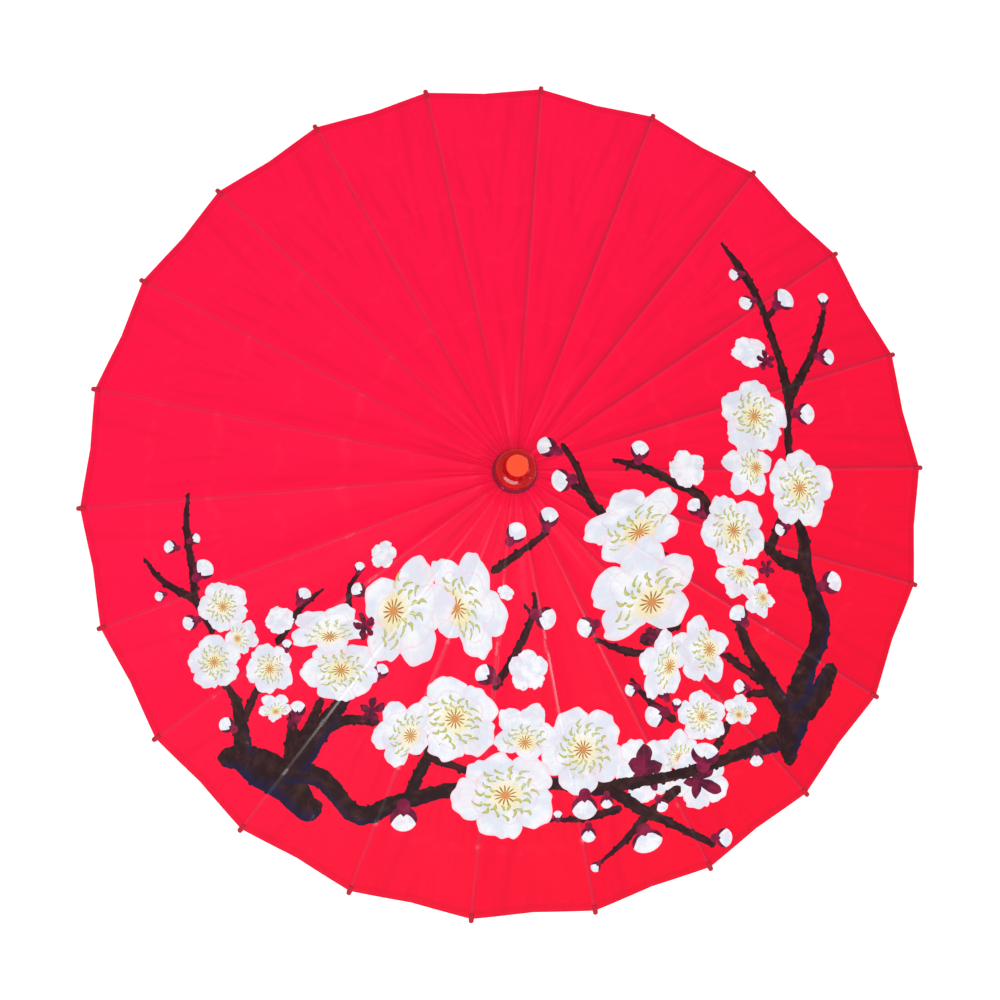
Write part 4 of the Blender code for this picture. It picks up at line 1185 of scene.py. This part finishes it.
# %% A skin through rings of points
def skin(name, outlines, paint):
    """A smooth closed piece through outlines that have equally many points."""
    builder = bmesh.new()
    loops = [[builder.verts.new(point) for point in outline] for outline in outlines]
    for one, other in zip(loops, loops[1:]):
        for step in range(len(one)):
            after = (step + 1) % len(one)
            builder.faces.new((one[step], one[after], other[after], other[step]))
    builder.faces.new(loops[0][::-1])
    builder.faces.new(loops[-1])
    bmesh.ops.recalc_face_normals(builder, faces=builder.faces)
    mesh = bpy.data.meshes.new(name)
    builder.to_mesh(mesh)
    mesh.polygons.foreach_set("use_smooth", [True] * len(mesh.polygons))
    mesh.materials.append(paint)
    return put(name, mesh)


print("rings of points can become a skin")

# %% [markdown]
# The binding is thread, wound in turns half a millimetre apart. The turns are waves along the
# height, and a fine noise breaks them up and mottles the crimson.

# %% Bind the rib ends
THREAD_TURN = 0.5 * MM
NUB_LENGTH, NUB_OUT, NUB_DROP, NUB_STEPS = 9 * MM, 1.6 * MM, 1.3 * MM, 12
NUB_HALF_WIDTH, NUB_HALF_HEIGHT = 2.4 * MM, 1.7 * MM
NUB_STATIONS = [(0.0, 0.75), (0.12, 1.0), (0.5, 1.08), (0.85, 0.95), (0.97, 0.6), (1.0, 0.15)]

binding = Paint("crimson_binding", Roughness=0.5, Specular_IOR_Level=0.25)
turns = (binding.place().parts()[2] * (math.tau / THREAD_TURN)).math("SINE")
fleck = binding.grain(binding.place(), 700.0)
binding_red = binding.done(
    Base_Color=binding.mix(fleck, (0.42, 0.003, 0.02), (0.66, 0.004, 0.035)),
    Normal=binding.bumped(turns * 0.3 + fleck, 0.3 * MM))


def rib_nub(number):
    """A rounded sleeve round the end of a rib."""
    turn = rib_frame(number)
    outlines = []
    for share, fullness in NUB_STATIONS:
        along = TIP_RADIUS + NUB_OUT - NUB_LENGTH * (1 - share)
        middle = float(silk_height(TIP_RADIUS, 0.0)) - (along - TIP_RADIUS) * SLOPE - NUB_DROP
        outline = []
        for step in range(NUB_STEPS):
            angle = math.tau * step / NUB_STEPS
            squarish = 1 / max(abs(math.cos(angle)), abs(math.sin(angle))) ** 0.4
            side = math.cos(angle) * NUB_HALF_WIDTH * fullness * squarish
            up = math.sin(angle) * NUB_HALF_HEIGHT * fullness * squarish
            east, north = turn @ np.array([along, side])
            outline.append((east, north, middle + up))
        outlines.append(outline)
    nub = skin(f"rib_nub_{number:02d}", outlines, binding_red)
    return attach(nub, f"rib_{number:02d}")


nubs = [rib_nub(number) for number in range(1, RIBS + 1)]
print(len(nubs), "bound rib ends")

# %% [markdown]
# ## The crown knob
#
# The knob is turned from wood and dipped in red lacquer: a low drum with a lip, a rounded
# shoulder and a short flat-topped stem. The lacquer is thick and wet-looking, so it gets a clear
# coat over a deep red. Towards the foot a painted shade darkens it to nearly black-red, and the
# flat top is a lighter vermilion.

# %% Red lacquer
lacquer = Paint(
    "red_lacquer", Coat_Weight=0.9, Coat_Roughness=0.05, Coat_IOR=1.35, Specular_IOR_Level=0.05)
up = lacquer.place().parts()[2]
knob_low, knob_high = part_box("finial")
run = lacquer.grain(lacquer.stretched(lacquer.place(), 120.0, 120.0, 30.0), 1.0, 2.0)
on_top = (up - (knob_high.z - 0.8 * MM)).fade(0.0, 0.6 * MM)
deep = lacquer.mix(run, (0.38, 0.0, 0.001), (0.66, 0.001, 0.002))
# painted shade: the lacquer darkens to nearly black-red towards the foot
foot = 1 - (up - knob_low.z).fade(3 * MM, 9 * MM)
deep = lacquer.mix(foot * 0.85, deep, (0.11, 0.0, 0.035))
red_lacquer = lacquer.done(
    Base_Color=lacquer.mix(on_top, deep, (0.95, 0.075, 0.022)),
    Roughness=0.18 + on_top * 0.3, Normal=lacquer.bumped(run, 0.15 * MM))
print("the knob is", round((knob_high.z - knob_low.z) / MM, 1), "mm tall")

# %% [markdown]
# The frame's knob has the right outline but hard corners. So its own corners give the outline,
# each bend is rounded by a small curve, and the result is turned again with many more steps.

# %% Turn the knob finely from the plain one's outline
KNOB_ROUNDING, KNOB_STEPS, SHARP = 1.2 * MM, 96, math.radians(38)


def outline_of(node):
    """Radius and height of a turned node's outside, from its own corners."""
    vertices = np.array([v.co for v in NODES[node].data.vertices])
    heights = vertices[:, 2].round(5)
    return [
        (float(np.hypot(*vertices[heights == level][:, :2].T).max()), float(level))
        for level in np.unique(heights)
    ]


def softened(outline, rounding, bits=4):
    """The outline with each corner cut by a small curve."""
    smooth = [outline[0]]
    for before, corner, after in zip(outline, outline[1:], outline[2:]):
        a, b, c = (np.array(point) for point in (before, corner, after))
        near = b + (a - b) * min(0.45, rounding / max(np.linalg.norm(a - b), 1e-9))
        far = b + (c - b) * min(0.45, rounding / max(np.linalg.norm(c - b), 1e-9))
        for t in np.linspace(0, 1, bits):
            smooth.append(tuple((1 - t) ** 2 * near + 2 * t * (1 - t) * b + t * t * far))
    smooth.append(outline[-1])
    return smooth


knob_outline = softened(outline_of("finial"), KNOB_ROUNDING)
directions = [math.tau * step / KNOB_STEPS for step in range(KNOB_STEPS)]
knob = skin(
    "crown_knob",
    [[(r * math.cos(a), r * math.sin(a), z) for a in directions] for r, z in knob_outline],
    red_lacquer)
knob.data.set_sharp_from_angle(angle=SHARP)
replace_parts(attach(knob, "root"), "finial")
print("the knob's outline has", len(knob_outline), "points")

# %% [markdown]
# ## Bamboo, wood and metal
#
# Ribs and stretchers are split bamboo: straw-coloured, with fibres along the stick, darker bands
# at its knots and a paler skin. The fibres have to run outwards on every rib, so the material
# measures the distance from the pole and the angle round it and stretches its noise along the
# distance.

# %% Split bamboo for ribs and stretchers
KNOT_SPACING = 118.0  # mm


def around_pole(paint):
    """Distance from the pole in mm, angle round it, and height in mm."""
    east, north, up = paint.place().parts()
    out = (east * east + north * north) ** 0.5 * 1000.0
    return out, north.math("ARCTAN2", east), up * 1000.0


split = Paint("split_bamboo", Specular_IOR_Level=0.4, Roughness=0.5)
out, angle, up = around_pole(split)
fibres = split.grain(split.vector(out * 0.03, angle * 600.0, up * 1.4), 1.0, 4.0, 0.6)
patches = split.grain(split.vector(out * 0.012, angle * 22.0, 0.0), 1.0, 2.0)
straw = split.mix(fibres.fade(0.3, 0.7), (0.42, 0.24, 0.085), (0.66, 0.44, 0.19))
straw = split.mix(patches.fade(0.5, 0.75) * 0.5, straw, (0.36, 0.17, 0.05))
knot_place = ((out + angle * 40.0) / KNOT_SPACING).math("FRACT")
knots = knot_place.fade(0.47, 0.49) * (1 - knot_place.fade(0.50, 0.52))
straw = split.mix(knots * 0.7, straw, (0.20, 0.09, 0.03))
split_bamboo = split.done(
    Base_Color=straw, Roughness=0.42 + fibres * 0.25, Normal=split.bumped(fibres + knots, 0.25 * MM))
print(len(split.tree.nodes), "nodes draw the split bamboo")

# %% [markdown]
# The pole is a whole cane, so its knots are real joints: a dark ring, and above it a groove where
# the leaf sheath sat. Fine lines run along the skin, which is harder and shinier than the inside
# of the stem, so it gets a light coat.

# %% Whole bamboo for the pole
JOINT_SPACING = 104.0  # mm
cane = Paint("bamboo_pole", Specular_IOR_Level=0.5, Roughness=0.35, Coat_Weight=0.3, Coat_Roughness=0.25)
out, angle, up = around_pole(cane)
lines = cane.grain(cane.vector(angle * 9.0, up * 0.02, 0.0), 1.0, 4.0, 0.6)
mottle = cane.grain(cane.place(), 45.0, 3.0)
bark_skin = cane.mix(lines.fade(0.3, 0.7), (0.44, 0.26, 0.09), (0.62, 0.42, 0.18))
bark_skin = cane.mix(mottle.fade(0.55, 0.75) * 0.5, bark_skin, (0.30, 0.14, 0.045))
joint_place = ((up - 40.0) / JOINT_SPACING).math("FRACT")
ring = joint_place.fade(0.480, 0.492) * (1 - joint_place.fade(0.500, 0.512))
groove = joint_place.fade(0.512, 0.516) * (1 - joint_place.fade(0.520, 0.526))
bark_skin = cane.mix((ring * 0.55 + groove * 0.9).math("MINIMUM", 1.0), bark_skin, (0.17, 0.075, 0.025))
bamboo_pole = cane.done(
    Base_Color=bark_skin, Roughness=0.3 + lines * 0.2,
    Normal=cane.bumped(ring - groove + lines * 0.2, 0.5 * MM))
print(len(cane.tree.nodes), "nodes draw the pole's cane")

# %% [markdown]
# Hub, runner and handle are turned wood. The year rings are planes through the block, bent by a
# slow noise, and fine pores run along the height. The hub and the runner stay pale and nearly
# matt, while the handle is stained dark and varnished.

# %% Turned wood for hub, runner and handle
def turned_wood(name, dark, light, coat):
    paint = Paint(name, Coat_Weight=coat, Coat_Roughness=0.15, Specular_IOR_Level=0.5)
    place = paint.place()
    bend = paint.grain(place, 35.0, 2.0)
    east, _, up = place.parts()
    rings = ((east + bend * 0.01) * 900.0 + up * 22.0).math("SINE").fade(-1.0, 1.0)
    fine = paint.grain(paint.stretched(place, 900.0, 900.0, 60.0), 1.0, 3.0)
    shade = rings * 0.5 + fine * 0.5
    colour = paint.mix(shade.fade(0.2, 0.8), dark, light)
    colour = paint.mix(fine.fade(0.62, 0.75) * 0.4, colour, tuple(c * 0.35 for c in dark))
    return paint.done(
        Base_Color=colour, Roughness=0.38 + fine * 0.25, Normal=paint.bumped(fine, 0.12 * MM))


hub_wood = turned_wood("pale_turned_wood", (0.40, 0.22, 0.09), (0.62, 0.40, 0.19), 0.15)
handle_wood = turned_wood("stained_handle_wood", (0.075, 0.022, 0.012), (0.20, 0.065, 0.030), 0.7)
print("two woods:", hub_wood.name, "and", handle_wood.name)

# %% [markdown]
# The ring wires, the pins and the catch are drawn steel, and the handle's ferrule is brass. Metal
# that is drawn or turned keeps fine scratches in one direction, and handling leaves dull stains.

# %% Steel and brass
def drawn_metal(name, colour, shine, scratches):
    paint = Paint(name, Metallic=1.0)
    scratch = paint.grain(paint.stretched(paint.place(), *scratches), 1.0, 3.0, 0.7)
    stain = paint.grain(paint.place(), 160.0, 3.0)
    tint = paint.mix(stain.fade(0.45, 0.8) * 0.6, colour, tuple(c * 0.45 for c in colour))
    return paint.done(
        Base_Color=tint, Roughness=shine + scratch * 0.25, Normal=paint.bumped(scratch, 0.05 * MM))


steel = drawn_metal("drawn_steel", (0.55, 0.55, 0.54), 0.22, (300.0, 300.0, 3000.0))
brass = drawn_metal("turned_brass", (0.72, 0.48, 0.17), 0.18, (200.0, 200.0, 6000.0))
print("two metals:", steel.name, "and", brass.name)

# %% [markdown]
# The sticks, the turned parts and the metal keep the frame's own shapes, which are fine enough.
# They only need their finish. A numbered node, such as a rib, is looked up by its name without
# the number.

# %% Finish the frame's own nodes
FINISHES = {
    "rib_": split_bamboo, "stretcher_": split_bamboo, "hub_pin": split_bamboo, "pole": bamboo_pole,
    "upper_hub": hub_wood, "runner": hub_wood, "handle": handle_wood, "handle_cap": handle_wood,
    "crown_washer": red_lacquer, "hub_wire": steel, "runner_wire": steel, "spring_catch": steel,
    "catch_pin": steel, "handle_ferrule": brass,
}
unfinished = []
for name, node in NODES.items():
    finish = FINISHES.get(name) or FINISHES.get(name.rstrip("0123456789"))
    if finish:
        for material_slot in node.material_slots:
            material_slot.material = finish
    else:
        unfinished.append(name)
print(len(NODES) - len(unfinished), "nodes got a finish;", " and ".join(unfinished), "were replaced")
